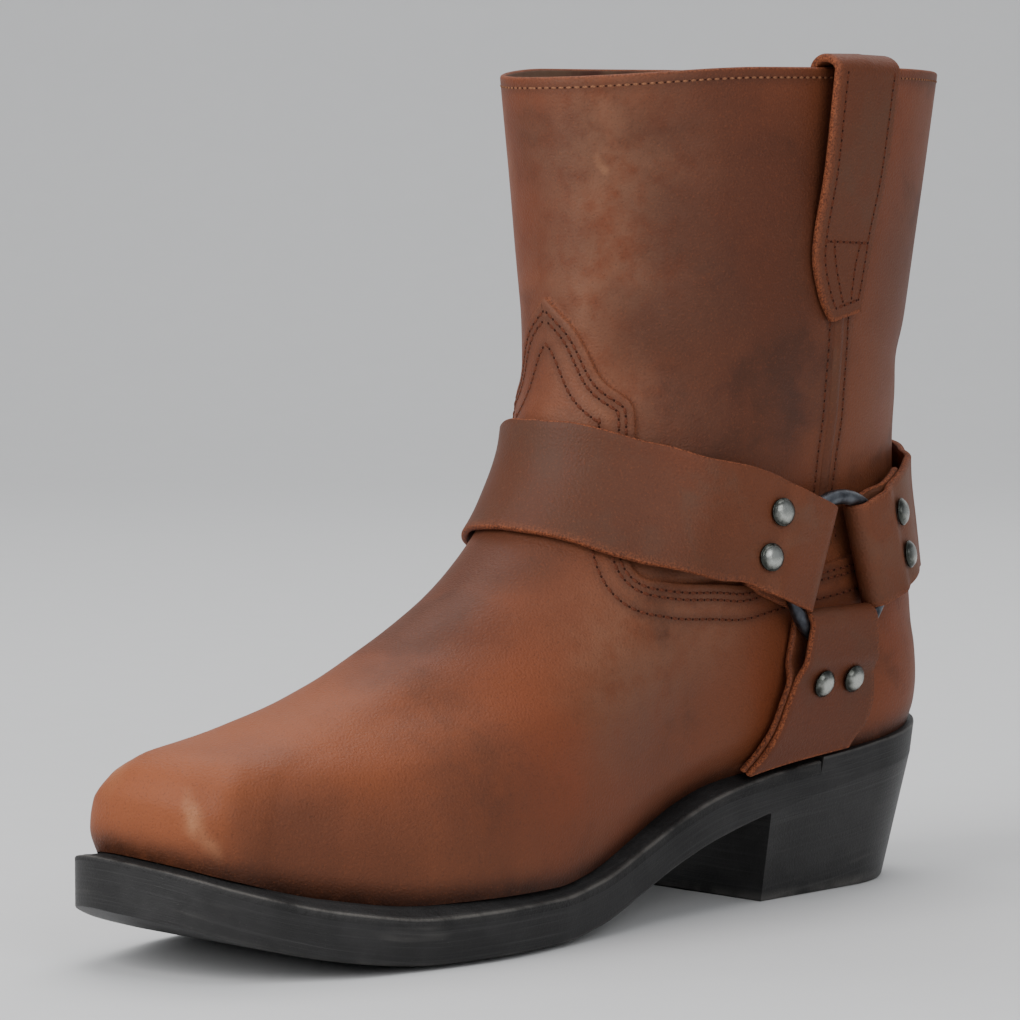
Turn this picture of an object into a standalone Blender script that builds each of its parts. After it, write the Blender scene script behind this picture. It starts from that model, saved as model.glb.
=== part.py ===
"""Short harness boot for the left foot, built from the pieces that a maker puts together."""
import math
from collections import namedtuple

import bmesh
import bpy
import numpy as np
from mathutils import Vector

# Frame: X runs to the toe, Y to the outer side of the foot, Z up, metres.
# The origin is the middle of the heel's floor face, this far in front of the sole's heel end.
HEEL_REST = 0.0470

# Driving sizes
SOLE_LENGTH = 0.3035
WALL = 0.0018
VAMP_STEP = 0.0012
GAP = 0.0003

# Sole: plan of its edge, from the heel end to the toe
SOLE_HEEL_ROUND = 0.0370
SOLE_TOE_ROUND = 0.0210
SOLE_TOE_POWER = 3.2
TOE_SLANT = 0.0100
SLANT_FROM = 0.2450
SOLE_STATIONS = 44
EDGE_CHAMFER = 0.0007
FLAT_SHARE = 0.78

# Heel: set in towards the floor, with a flat breast
HEEL_BREAST = 0.0866
HEEL_BACK_SET = 0.0112
HEEL_FLOOR_SHARE = 0.885
HEEL_FLOOR_ROUND = 0.060
HEEL_STATIONS = 22

# Welt: a flat strip between the upper and the outsole, from the heel's sides round the toe
WELT_END = 0.0640
WELT_THICK = 0.0052
WELT_UNDER = 0.0050
WELT_STATIONS = 26

# Insole
INSOLE_THICK = 0.0030
INSOLE_CLEAR = 0.0005
INSOLE_END_SHARE = 0.25


def smooth(knots, values, at):
    """Monotone cubic curve through a table's rows, read at one or many places."""
    step = np.diff(knots)
    slope = np.diff(values) / step
    before, after = slope[:-1], slope[1:]
    weight_a = 2 * step[1:] + step[:-1]
    weight_b = step[1:] + 2 * step[:-1]
    turning = before * after <= 0
    safe_before = np.where(turning, 1.0, before)
    safe_after = np.where(turning, 1.0, after)
    mean = (weight_a + weight_b) / (weight_a / safe_before + weight_b / safe_after)
    tangent = np.concatenate([slope[:1], np.where(turning, 0.0, mean), slope[-1:]])
    at = np.clip(at, knots[0], knots[-1])
    i = np.clip(np.searchsorted(knots, at) - 1, 0, len(step) - 1)
    t = (at - knots[i]) / step[i]
    start = (1 + 2 * t) * (1 - t) ** 2 * values[i] + t * (1 - t) ** 2 * step[i] * tangent[i]
    end = t * t * (3 - 2 * t) * values[i + 1] + t * t * (t - 1) * step[i] * tangent[i + 1]
    return start + end


class Rows:
    """A short table with named columns, a row for each section, read through a smooth curve."""

    def __init__(self, columns, *rows):
        self.names = columns.split()
        self.columns = dict(zip(self.names, np.array(rows, float).T))

    def at(self, column, place):
        return smooth(self.columns[self.names[0]], self.columns[column], place)


# Sole plan: centre line and half width along the length, and the ledge outside the upper
PLAN = Rows(
    "along centre half ledge",
    (0.000, 0.0000, 0.0365, 0.0015),
    (0.040, 0.0000, 0.0368, 0.0015),
    (0.086, 0.0005, 0.0355, 0.0045),
    (0.125, 0.0020, 0.0345, 0.0078),
    (0.165, 0.0020, 0.0405, 0.0060),
    (0.212, 0.0000, 0.0480, 0.0065),
    (0.252, -0.0020, 0.0435, 0.0070),
    (0.284, -0.0030, 0.0325, 0.0075),
    (0.3035, -0.0035, 0.0255, 0.0080),
)

# Sole seen from the side: underside height, thickness up to the upper, how far its rim lifts,
# how far the welt falls outwards, and the rise of the seat at the arch, which fades out up the upper
SIDE = Rows(
    "along under thick lift fall arch",
    (0.000, 0.0395, 0.0090, 0.0000, 0.0010, 0.0000),
    (0.045, 0.0336, 0.0094, 0.0000, 0.0010, 0.0003),
    (0.0866, 0.0264, 0.0127, 0.0000, 0.0015, 0.0027),
    (0.112, 0.0203, 0.0147, 0.0003, 0.0023, 0.0062),
    (0.140, 0.0102, 0.0149, 0.0006, 0.0023, 0.0048),
    (0.166, 0.0022, 0.0160, 0.0010, 0.0026, 0.0036),
    (0.182, 0.0000, 0.0165, 0.0012, 0.0028, 0.0030),
    (0.228, 0.0000, 0.0166, 0.0012, 0.0028, 0.0030),
    (0.258, 0.0040, 0.0166, 0.0004, 0.0028, 0.0030),
    (0.283, 0.0107, 0.0170, 0.0002, 0.0030, 0.0034),
    (0.3035, 0.0190, 0.0182, 0.0002, 0.0037, 0.0044),
)

# Collar height along the length: it dips a little at the front
COLLAR = Rows(
    "along height",
    (-0.0110, 0.2408),
    (0.0500, 0.2422),
    (0.1000, 0.2422),
    (0.1500, 0.2392),
)

# Upper: one row for each ring, from the feather line (level 0) to the collar (level 1).
# back and front are the ring's ends along the length; seat, waist, ball and toe its half widths;
# heel_round and toe_round the shares of its length that its ends take, toe_power how square the front is.
UPPER = Rows(
    "level back front seat waist ball toe heel_round toe_round toe_power",
    (0.000, 0.0030, 0.2968, 0.0335, 0.0258, 0.0415, 0.0250, 0.125, 0.075, 3.2),
    (0.035, 0.0010, 0.2993, 0.0350, 0.0290, 0.0430, 0.0265, 0.125, 0.080, 3.2),
    (0.075, 0.0000, 0.2999, 0.0355, 0.0325, 0.0430, 0.0268, 0.130, 0.085, 3.0),
    (0.115, -0.0003, 0.2970, 0.0352, 0.0335, 0.0420, 0.0268, 0.140, 0.110, 2.8),
    (0.150, 0.0000, 0.2900, 0.0348, 0.0340, 0.0408, 0.0275, 0.155, 0.170, 2.5),
    (0.200, 0.0007, 0.2610, 0.0340, 0.0345, 0.0390, 0.0310, 0.170, 0.270, 2.2),
    (0.255, 0.0018, 0.2290, 0.0330, 0.0345, 0.0370, 0.0325, 0.190, 0.350, 2.1),
    (0.310, 0.0030, 0.2008, 0.0325, 0.0345, 0.0362, 0.0332, 0.220, 0.400, 2.0),
    (0.370, 0.0048, 0.1765, 0.0330, 0.0355, 0.0367, 0.0342, 0.270, 0.430, 2.0),
    (0.440, 0.0060, 0.1570, 0.0352, 0.0378, 0.0378, 0.0362, 0.340, 0.450, 2.0),
    (0.520, 0.0052, 0.1460, 0.0383, 0.0404, 0.0404, 0.0393, 0.420, 0.480, 2.0),
    (0.620, 0.0022, 0.1425, 0.0414, 0.0430, 0.0430, 0.0424, 0.480, 0.500, 2.0),
    (0.800, -0.0040, 0.1447, 0.0448, 0.0455, 0.0455, 0.0449, 0.500, 0.500, 2.0),
    (1.000, -0.0108, 0.1493, 0.0478, 0.0478, 0.0478, 0.0478, 0.500, 0.500, 2.0),
)
RING_SHARES = np.array([0.13, 0.40, 0.68, 0.93])
RING_COLUMNS = ("seat", "waist", "ball", "toe")
RING_SAMPLES = 160
SWING_FADE = 0.45
ARCH_FADE = 0.24

# Vamp and counter edge, where the foot's outer leather ends: points of one side from back to front
EDGE = Rows(
    "place turn level",
    (0.00, 0.000, 0.290),
    (0.15, 0.160, 0.288),
    (0.30, 0.310, 0.286),
    (0.42, 0.450, 0.290),
    (0.52, 0.551, 0.313),
    (0.62, 0.670, 0.341),
    (0.69, 0.735, 0.360),
    (0.76, 0.790, 0.400),
    (0.84, 0.838, 0.520),
    (0.88, 0.850, 0.568),
    (0.93, 0.905, 0.610),
    (0.97, 0.948, 0.676),
    (1.00, 1.000, 0.718),
)
FOOT_RINGS = 15
FOOT_CROWD = 1.35
SHAFT_RINGS = 8
UPPER_COLUMNS = 22
PROBE = 0.004

# Harness: two rings, each held by the folded ends of three straps.
# Every route starts under a ring and gives the strap's middle over the upper.
# A fit gives half widths, seat height, the length of route that sets the strap's pull on the ring,
# how far it hangs plumb, and the lengths where the space round the ring closes, the rivets stand,
# the strap lies down on the boot and its second layer has run out.
RING_RADIUS = 0.0215
WIRE_RADIUS = 0.0022
RING_HEIGHT = 0.0076
STRAP_THICK = 0.0022
StrapFit = namedtuple(
    "StrapFit", "half_ring half_end seat lead plumb tunnel rivet lie_down single_from floor")
INSTEP_FIT = StrapFit(0.0154, 0.0180, 0.0013, 0.0500, 0.0, 0.0270, 0.0340, 0.0560, 0.0760, 0.0)
HEEL_FIT = StrapFit(0.0152, 0.0178, 0.0006, 0.0430, 0.0, 0.0228, 0.0290, 0.0470, 0.0560, 0.0)
ANCHOR_FIT = StrapFit(0.0128, 0.0206, 0.0013, 0.0700, 1.5, 0.0250, 0.0320, 0.0560, 0.0760, 0.018)
FRONT_ROUTE = Rows(
    "share turn level",
    (0.00, 0.322, 0.280),
    (0.20, 0.455, 0.351),
    (0.50, 0.670, 0.411),
    (0.72, 0.803, 0.451),
    (0.90, 0.940, 0.486),
    (1.00, 1.000, 0.490),
)
BACK_ROUTE = Rows(
    "share turn level",
    (0.00, 0.322, 0.280),
    (0.30, 0.240, 0.310),
    (0.55, 0.168, 0.326),
    (0.80, 0.080, 0.333),
    (1.00, 0.000, 0.338),
)
ANCHOR_ROUTE = Rows(
    "share turn level",
    (0.00, 0.322, 0.280),
    (0.30, 0.288, 0.190),
    (0.60, 0.259, 0.110),
    (0.85, 0.266, 0.050),
    (1.00, 0.276, 0.018),
)
FOLD_SLACK = 0.0009
INNER_END = 0.0380
FOLD_STEPS = 6
STRAP_RUN = 16
RING_STEPS = 24
WIRE_STEPS = 8
ROUTE_SAMPLES = 200
STEP = 0.0015
STRAP_ACROSS = 4
INNER_ROWS = 6
END_ROWS = 4
ANCHOR_INNER_ROWS = 9
ANCHOR_ROWS = 6

# Rivets: domed caps on the straps' riveted ends
RIVET_RADIUS = 0.0041
RIVET_RISE = 0.0022
RIVET_RIM = 0.0005
RIVET_APART = 0.0068
RIVET_STEPS = 12
RIVET_RINGS = 3
RIVET_SEAT = 0.0002
MERGE = 0.00002
SHARP_ANGLE = math.radians(40)

# Side seams: a raised bead down each side of the shaft
SEAM_HALF = 0.0026
SEAM_RISE = 0.0010
SEAM_SEAT = 0.0005
SEAM_STATIONS = 14
SEAM_ROUTE = Rows(
    "share turn level",
    (0.00, 0.489, 0.985),
    (0.25, 0.481, 0.815),
    (0.50, 0.467, 0.640),
    (0.75, 0.424, 0.461),
    (0.87, 0.391, 0.396),
    (1.00, 0.322, 0.310),
)
SEAM_UNDER_PULL = 0.50

# Pull strap: sewn to the outer side, looped over the collar and sewn down inside
PULL_THICK = 0.0026
PULL_SEAT = 0.0004
PULL_ARCH = 0.0036
PULL_INSIDE_LEVEL = 0.80
PULL_INSIDE_HALF = 0.0120
PULL = Rows(
    "level turn half stand",
    (0.650, 0.466, 0.0060, 0.0000),
    (0.690, 0.478, 0.0095, 0.0000),
    (0.745, 0.486, 0.0118, 0.0002),
    (0.860, 0.486, 0.0122, 0.0030),
    (1.000, 0.486, 0.0126, 0.0050),
)
PULL_STATIONS = 9
PULL_INSIDE_ROWS = 5
PULL_LINE = Rows("level turn", *zip(PULL.columns["level"], PULL.columns["turn"]))

SKINS = {
    "leather_brown": ((0.150, 0.062, 0.035), 0.55, 0.0),
    "sole_black": ((0.022, 0.021, 0.022), 0.60, 0.0),
    "insole_tan": ((0.330, 0.200, 0.110), 0.75, 0.0),
    "ring_gunmetal": ((0.080, 0.080, 0.085), 0.35, 1.0),
    "rivet_nickel": ((0.330, 0.320, 0.300), 0.30, 1.0),
}


def end_cap(depth, power):
    """Width share of a rounded end: 0 at its tip, 1 where the rounding stops."""
    depth = np.clip(depth, 0, 1)
    return (1 - (1 - depth) ** power) ** (1 / power)


def sole_half(along, inset=0.0):
    """Half width of the sole at places along it, with both ends and both sides drawn in by an inset."""
    heel = end_cap((along - inset) / (SOLE_HEEL_ROUND - inset), 2.0)
    toe = end_cap((SOLE_LENGTH - inset - along) / SOLE_TOE_ROUND, SOLE_TOE_POWER)
    return (PLAN.at("half", along) - inset) * heel * toe


def stations(start, end, count):
    """Places from one end to the other, close together where the ends are round."""
    turn = (np.arange(count) + 0.5) / count * math.pi
    return start + (end - start) * (1 - np.cos(turn)) / 2


def feather(along):
    """Height of the seat that the upper stands on."""
    return SIDE.at("under", along) + SIDE.at("thick", along)


def set_back(along, y):
    """How far a place lies behind the inner side's near the toe, whose end runs at a slant."""
    share = ease((along - SLANT_FROM) / (SOLE_LENGTH - SLANT_FROM))
    return TOE_SLANT * share * (1 + (y - PLAN.at("centre", along)) / PLAN.at("half", along)) / 2


def world(along, y, z):
    """A point of the frame; where the toe slants it moves back and follows the sole's spring."""
    place = along - set_back(along, y)
    return np.stack(np.broadcast_arrays(place - HEEL_REST, y, z + feather(place) - feather(along)), axis=-1)


def upper_points(turns, levels):
    """Points of the upper's base surface. A turn is 0 at the back, 1 or -1 at the front, positive outside."""
    turns = (np.asarray(turns, float) + 1) % 2 - 1
    levels = np.clip(levels, 0, 1)[:, None]
    share = (1 - np.cos(np.linspace(0, math.pi, RING_SAMPLES)))[None, :] / 2
    widths = [UPPER.at(name, levels[:, 0]) for name in RING_COLUMNS]
    half = np.array([smooth(RING_SHARES, np.array(row), share[0]) for row in zip(*widths)])
    half *= end_cap(share / UPPER.at("heel_round", levels), 2.0)
    half *= end_cap((1 - share) / UPPER.at("toe_round", levels), UPPER.at("toe_power", levels))
    back = UPPER.at("back", levels)
    along = back + (UPPER.at("front", levels) - back) * share
    steps = np.hypot(np.diff(along, prepend=along[:, :1]), np.diff(half, prepend=half[:, :1]))
    run = np.cumsum(steps, axis=1)
    run /= run[:, -1:]
    reach = np.abs(turns)
    place = np.array([np.interp(*row) for row in zip(reach, run, along)])
    width = np.array([np.interp(*row) for row in zip(reach, run, half)])
    level = levels[:, 0]
    swing = PLAN.at("centre", place) * np.clip(1 - level / SWING_FADE, 0, 1)
    arch = SIDE.at("arch", place)
    z = (feather(place) - arch) * (1 - level) + COLLAR.at("height", place) * level
    z += arch * np.clip(1 - level / ARCH_FADE, 0, 1) ** 2
    return world(place, swing + np.copysign(width, turns), z)


def upper_normals(turns, levels):
    """Outward directions of the base surface; they lie level at the feather line and at the collar."""
    turns = np.asarray(turns, float)
    levels = np.asarray(levels, float)
    around = upper_points(turns + PROBE, levels) - upper_points(turns - PROBE, levels)
    up = upper_points(turns, levels + PROBE) - upper_points(turns, levels - PROBE)
    normals = np.cross(up, around)
    normals[(levels <= 0) | (levels >= 1), 2] = 0
    return normals / np.linalg.norm(normals, axis=1, keepdims=True)


def material(name):
    skin = bpy.data.materials.get(name)
    if skin is None:
        color, roughness, metallic = SKINS[name]
        skin = bpy.data.materials.new(name)
        skin.use_nodes = True
        shader = skin.node_tree.nodes["Principled BSDF"]
        shader.inputs["Base Color"].default_value = (*color, 1.0)
        shader.inputs["Roughness"].default_value = roughness
        shader.inputs["Metallic"].default_value = metallic
    return skin


def add_object(name, mesh, skin, parts):
    mesh.shade_smooth()
    mesh.set_sharp_from_angle(angle=SHARP_ANGLE)
    piece = bpy.data.objects.new(name, mesh)
    piece.data.materials.append(material(skin))
    parts.objects.link(piece)
    return piece


def loft(name, sections, closed=False):
    """Mesh through rows of points, each row a closed loop; the ends are capped unless the loft closes."""
    bm = bmesh.new()
    loops = [[bm.verts.new(point) for point in section] for section in sections]
    follow = loops[1:] + loops[:1] if closed else loops[1:]
    for here, there in zip(loops, follow):
        for i in range(len(here)):
            j = (i + 1) % len(here)
            bm.faces.new((here[i], here[j], there[j], there[i]))
    if not closed:
        bm.faces.new(loops[0])
        bm.faces.new(loops[-1])
    bmesh.ops.recalc_face_normals(bm, faces=bm.faces)
    bmesh.ops.triangulate(bm, faces=bm.faces, quad_method="SHORT_EDGE")
    mesh = bpy.data.meshes.new(name)
    bm.to_mesh(mesh)
    bm.free()
    return mesh


def mirrored(outline, centre):
    """A closed section from the points of its outer half, given as (along, half width, height)."""
    outer = [(along, centre + half, z) for along, half, z in outline]
    inner = [(along, centre - half, z) for along, half, z in reversed(outline)]
    return [world(*point) for point in outer + inner]


def heel_lean(along, depth):
    """How far the back edge moves forward at a depth under the heel seat; nothing at the breast."""
    return HEEL_BACK_SET * depth / feather(0.0) * max(0.0, 1 - along / HEEL_BREAST)


def outsole(parts):
    """Full-length outsole: toe spring, flat forefoot, arch, and at its back a raised seat for the upper."""
    places = stations(0, SOLE_LENGTH, SOLE_STATIONS)
    sections = []
    for along in sorted([*places, WELT_END - GAP, WELT_END]):
        half = sole_half(along)
        under = SIDE.at("under", along)
        top = feather(along) - GAP - (WELT_THICK if along >= WELT_END else 0)
        low = along + heel_lean(along, feather(along) - under)
        outline = [
            (along, half - EDGE_CHAMFER, top),
            (along, half, top - EDGE_CHAMFER),
            (low, half, under + SIDE.at("lift", along) + EDGE_CHAMFER),
            (low, half - EDGE_CHAMFER, under + SIDE.at("lift", along)),
            (low, half * FLAT_SHARE, under),
        ]
        sections.append(mirrored(outline, PLAN.at("centre", along)))
    add_object("outsole", loft("outsole", sections), "sole_black", parts)


def heel(parts):
    """Block heel: its top follows the outsole, its sides and back lean in, its breast is flat and upright."""
    turn = (np.arange(HEEL_STATIONS) + 0.5) / (HEEL_STATIONS - 0.5) * math.pi / 2
    sections = []
    for along in HEEL_BREAST * (1 - np.cos(turn)):
        half = sole_half(along)
        under = SIDE.at("under", along)
        top_along = along + heel_lean(along, feather(along) - under)
        floor_along = along + heel_lean(along, feather(0.0))
        floor_half = half * (HEEL_FLOOR_SHARE - HEEL_FLOOR_ROUND * (1 - along / HEEL_BREAST))
        outline = [
            (top_along, half, under - GAP),
            (floor_along, floor_half, EDGE_CHAMFER),
            (floor_along, floor_half - EDGE_CHAMFER, 0.0),
        ]
        sections.append(mirrored(outline, PLAN.at("centre", along)))
    add_object("heel", loft("heel", sections), "sole_black", parts)


def welt(parts):
    """Flat strip round the forefoot, flush with the outsole's edge; it slopes down outwards."""
    places = stations(2 * WELT_END - SOLE_LENGTH, SOLE_LENGTH, 2 * WELT_STATIONS)[WELT_STATIONS:]
    inset = PLAN.at("ledge", places) + VAMP_STEP + WALL + WELT_UNDER
    reach = (places - WELT_END) / (SOLE_LENGTH - WELT_END)
    inner_places = places - inset[-1] * reach
    inner_half = sole_half(inner_places, inset[-1]) + inset[-1] - inset
    sections = []
    for side in (1, -1):
        sweep = []
        for along, inner, half in zip(places, inner_places, np.maximum(inner_half, GAP)):
            y = PLAN.at("centre", along) + side * sole_half(along)
            inner_y = PLAN.at("centre", inner) + side * half
            top = feather(along) - GAP
            floor = top - WELT_THICK + GAP
            shoulder = sole_half(along) - EDGE_CHAMFER
            fall = SIDE.at("fall", along)
            sweep.append([
                world(along, y, floor),
                world(along, y, top - fall - EDGE_CHAMFER),
                world(along, PLAN.at("centre", along) + side * shoulder, top - fall),
                world(inner, inner_y, feather(inner) - GAP),
                world(inner, inner_y, feather(inner) - WELT_THICK),
            ])
        sections += sweep[::side]
    add_object("welt", loft("welt", sections), "sole_black", parts)


def insole(parts):
    """Foot bed inside the upper, on the welt and the heel seat."""
    turns = np.linspace(0, 1, UPPER_COLUMNS + 1)
    level = np.zeros(len(turns))
    rows = []
    for side in (1, -1):
        inward = upper_normals(side * turns, level) * (WALL + INSOLE_CLEAR)
        points = upper_points(side * turns, level) - inward
        points[[0, -1]] += (points[[1, -2]] - points[[0, -1]]) * INSOLE_END_SHARE
        low = feather(points[:, 0] + HEEL_REST) + GAP
        for height in (low, low + INSOLE_THICK):
            rows.append(np.column_stack([points[:, :2], height]))
    sections = list(zip(rows[0], rows[1], rows[3], rows[2]))
    add_object("insole", loft("insole", sections), "insole_tan", parts)


def upper(parts):
    """Hollow leather upper: rings of the foot, a step at the vamp's edge, the shaft, the inner wall."""
    half = np.linspace(0, 1, UPPER_COLUMNS + 1)
    place = np.concatenate([half, half[-2:0:-1]])
    side = np.where(np.arange(len(place)) > UPPER_COLUMNS, -1.0, 1.0)
    edge_turn = EDGE.at("turn", place)
    edge_level = EDGE.at("level", place)
    rings = []
    for k in range(FOOT_RINGS + 1):
        share = (k / FOOT_RINGS) ** FOOT_CROWD
        rings.append((place + (edge_turn - place) * share, edge_level * share, VAMP_STEP))
    for k in range(SHAFT_RINGS + 1):
        share = k / SHAFT_RINGS
        rings.append((edge_turn + (place - edge_turn) * share, edge_level + (1 - edge_level) * share, 0.0))
    inside = [(turns, levels, -WALL) for turns, levels, lift in rings[:0:-1]]
    inside.append((rings[0][0], rings[0][1], -WALL))
    sections = []
    for turns, levels, lift in rings + inside:
        sections.append(upper_points(side * turns, levels) + upper_normals(side * turns, levels) * lift)
    add_object("upper", loft("upper", sections, closed=True), "leather_brown", parts)


def path_length(points):
    return np.concatenate([[0], np.cumsum(np.linalg.norm(np.diff(points, axis=0), axis=1))])


class Route:
    """A line over the upper, read by its length, with a frame of its own for what lies on it."""

    def __init__(self, table, side, toward, floor=0.0):
        share = np.linspace(0, 1, ROUTE_SAMPLES)
        start, end = table.columns[table.names[0]][[0, -1]]
        places = start + (end - start) * share
        self.turns = side * table.at("turn", places)
        self.levels = table.at("level", places)
        self.run = path_length(upper_points(self.turns, self.levels))
        self.toward = np.array(toward, float)
        self.floor = floor

    def climb(self, lengths):
        """How much of a step across the route may change level."""
        return np.ones(len(lengths))

    def length(self):
        return self.run[-1]

    def place(self, lengths):
        """Turns and levels at lengths along the route."""
        return np.interp(lengths, self.run, self.turns), np.interp(lengths, self.run, self.levels)

    def over(self, lengths, across, heights):
        """Points over the upper: a row for each length, a column for each distance across the route."""
        lengths = np.asarray(lengths, float)
        turns, levels = self.place(lengths)
        ahead = upper_points(*self.place(lengths + STEP)) - upper_points(*self.place(lengths - STEP))
        cross = np.cross(upper_normals(turns, levels), ahead)
        cross /= np.linalg.norm(cross, axis=1, keepdims=True)
        cross *= np.sign(cross @ self.toward)[:, None]
        by_turn = (upper_points(turns + PROBE, levels) - upper_points(turns - PROBE, levels)) / (2 * PROBE)
        by_level = (upper_points(turns, levels + PROBE) - upper_points(turns, levels - PROBE)) / (2 * PROBE)
        steps = []
        for du, dv, direction in zip(by_turn, by_level, cross):
            steps.append(np.linalg.lstsq(np.column_stack([du, dv]), direction, rcond=None)[0])
        steps = np.array(steps)
        steps[:, 1] *= self.climb(lengths)
        columns = []
        for distance, height in zip(np.asarray(across).T, np.broadcast_to(heights, np.shape(across)).T):
            turn = turns + steps[:, 0] * distance
            level = np.maximum(levels + steps[:, 1] * distance, self.floor)
            columns.append(upper_points(turn, level) + upper_normals(turn, level) * height[:, None])
        return np.stack(columns, axis=1)


def ring_seat(side):
    """Centre and outward direction of a ring, over the place where the three routes start."""
    turn = np.array([side * FRONT_ROUTE.columns["turn"][0]])
    level = np.array([FRONT_ROUTE.columns["level"][0]])
    outward = upper_normals(turn, level)[0]
    return upper_points(turn, level)[0] + outward * RING_HEIGHT, outward


class Strap(Route):
    """A strap's route with its end folded round the ring: two layers joined by rivets past the fold."""

    def __init__(self, table, side, toward, fit):
        super().__init__(table, side, toward, fit.floor)
        self.fit = fit
        self.centre, self.outward = ring_seat(side)
        ends = upper_points(*self.place(np.array([0.0, fit.lead])))
        chord = self.in_plane(ends[1] - ends[0])
        down = self.in_plane(np.array([0.0, 0.0, -1.0]))
        lead = chord + down * fit.plumb
        self.lead = lead / np.linalg.norm(lead)
        cross = np.cross(self.outward, self.in_plane(chord + (down - chord) * min(fit.plumb, 1.0)))
        self.cross = cross * np.sign(cross @ self.toward)
        skew = abs(self.lead @ self.cross)
        wire = math.sqrt(RING_RADIUS ** 2 - fit.half_ring ** 2 * (1 - skew ** 2))
        self.fold = wire - fit.half_ring * skew - FOLD_SLACK

    def in_plane(self, direction):
        """Unit direction laid into the ring's plane."""
        flat = direction - self.outward * (direction @ self.outward)
        return flat / np.linalg.norm(flat)

    def climb(self, lengths):
        """A strap that stops at the welt ends along it; any other is cut square."""
        return 1 - ease(lengths / self.length()) * (self.floor > 0)

    def sheet(self, lengths, layer, across=None):
        """Middle of the leather at lengths from the ring's centre; layer is 1 outside and -1 inside."""
        lengths = np.asarray(lengths, float)
        loop = WIRE_RADIUS + GAP + STRAP_THICK / 2
        pinch = ease((lengths - self.fit.tunnel) / (self.fit.rivet - self.fit.tunnel))
        apart = loop + (STRAP_THICK / 2 + GAP / 2 - loop) * pinch
        rest = VAMP_STEP + self.fit.seat + STRAP_THICK + GAP / 2
        single = ease((lengths - self.fit.lie_down) / (self.fit.single_from - self.fit.lie_down))
        heights = rest + layer * apart - (STRAP_THICK + GAP) * single * (layer > 0) * (self.floor == 0)
        share = lengths / self.length()
        half = self.fit.half_ring + (self.fit.half_end - self.fit.half_ring) * ease(share)
        if across is None:
            across = half[:, None] * np.linspace(-1, 1, STRAP_ACROSS)
        lying = self.over(lengths, across, heights[:, None])
        taut = self.flat(lengths, across, layer * apart)
        blend = ease((lengths - self.fit.tunnel) / (self.fit.lie_down - self.fit.tunnel))[:, None, None]
        return taut + (lying - taut) * blend

    def flat(self, lengths, across, heights):
        """Points in the ring's own plane."""
        middle = self.centre + lengths[:, None] * self.lead + np.asarray(heights)[:, None] * self.outward
        return middle[:, None, :] + across[:, :, None] * self.cross

    def loop(self):
        """The fold round the ring's wire, from the inner layer to the outer one."""
        bend = np.linspace(-math.pi / 2, math.pi / 2, FOLD_STEPS + 1)[1:-1]
        radius = WIRE_RADIUS + GAP + STRAP_THICK / 2
        across = np.full((len(bend), 1), self.fit.half_ring) * np.linspace(-1, 1, STRAP_ACROSS)
        return self.flat(self.fold - radius * np.cos(bend), across, radius * np.sin(bend))

    def rivet_seats(self):
        """Where the two rivets stand clear of the outer layer's curve, with the directions that they face."""
        reach = np.array([-1.0, 0.0, 1.0]) * RIVET_RADIUS
        seats = []
        for sign in (1, -1):
            across = np.tile(sign * RIVET_APART + reach, (len(reach), 1))
            patch = self.sheet(self.fit.rivet + reach, 1, across)
            facing = np.cross(patch[2, 1] - patch[0, 1], patch[1, 2] - patch[1, 0])
            facing *= np.sign(facing @ self.outward) / np.linalg.norm(facing)
            rise = np.max((patch - patch[1, 1]) @ facing)
            seats.append((patch[1, 1] + facing * (STRAP_THICK / 2 + rise + RIVET_SEAT), facing))
        return seats


def ease(share):
    share = np.clip(share, 0, 1)
    return share * share * (3 - 2 * share)


def ribbon(name, middle, thick):
    """Closed strip of leather about a sheet of middle points, in rows along it."""
    along = np.gradient(middle, axis=0)
    across = np.gradient(middle, axis=1)
    face = np.cross(along, across)
    face *= thick / 2 / np.linalg.norm(face, axis=2, keepdims=True)
    sections = [list(top) + list(low[::-1]) for top, low in zip(middle + face, middle - face)]
    return loft(name, sections)


def strap_end(strap):
    """One folded end: the inner layer towards the ring, the loop, and the outer layer away from it."""
    inner = np.linspace(INNER_END, strap.fold, INNER_ROWS)
    outer = np.concatenate([np.linspace(strap.fold, strap.fit.rivet, END_ROWS),
                            np.linspace(strap.fit.rivet, strap.fit.lie_down, END_ROWS)[1:]])
    return np.concatenate([strap.sheet(inner, -1), strap.loop(), strap.sheet(outer, 1)])


def harness_strap(name, table, fit, parts):
    """A strap from the outer ring round the boot to the inner ring, both ends folded and riveted."""
    halves = []
    for side, word in ((1, "outer"), (-1, "inner")):
        strap = Strap(table, side, (0, 0, 1), fit)
        run = np.linspace(fit.lie_down, strap.length(), STRAP_RUN + 1)[1:]
        halves.append(np.concatenate([strap_end(strap), strap.sheet(run, 1)]))
        rivet_pair(f"{name}_rivet_{word}", strap.rivet_seats(), parts)
    middle = np.concatenate([halves[0], halves[1][-2::-1]])
    add_object(name, ribbon(name, middle, STRAP_THICK), "leather_brown", parts)


def anchor_strap(name, side, parts):
    """A doubled strap from a ring down to the welt."""
    strap = Strap(ANCHOR_ROUTE, side, (1, 0, 0), ANCHOR_FIT)
    inner = np.linspace(strap.length(), strap.fold, ANCHOR_INNER_ROWS)
    outer = np.concatenate([np.linspace(strap.fold, strap.fit.rivet, END_ROWS),
                            np.linspace(strap.fit.rivet, strap.length(), ANCHOR_ROWS)[1:]])
    middle = np.concatenate([strap.sheet(inner, -1), strap.loop(), strap.sheet(outer, 1)])
    add_object(name, ribbon(name, middle, STRAP_THICK), "leather_brown", parts)
    rivet_pair(f"{name}_rivet", strap.rivet_seats(), parts)


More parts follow.
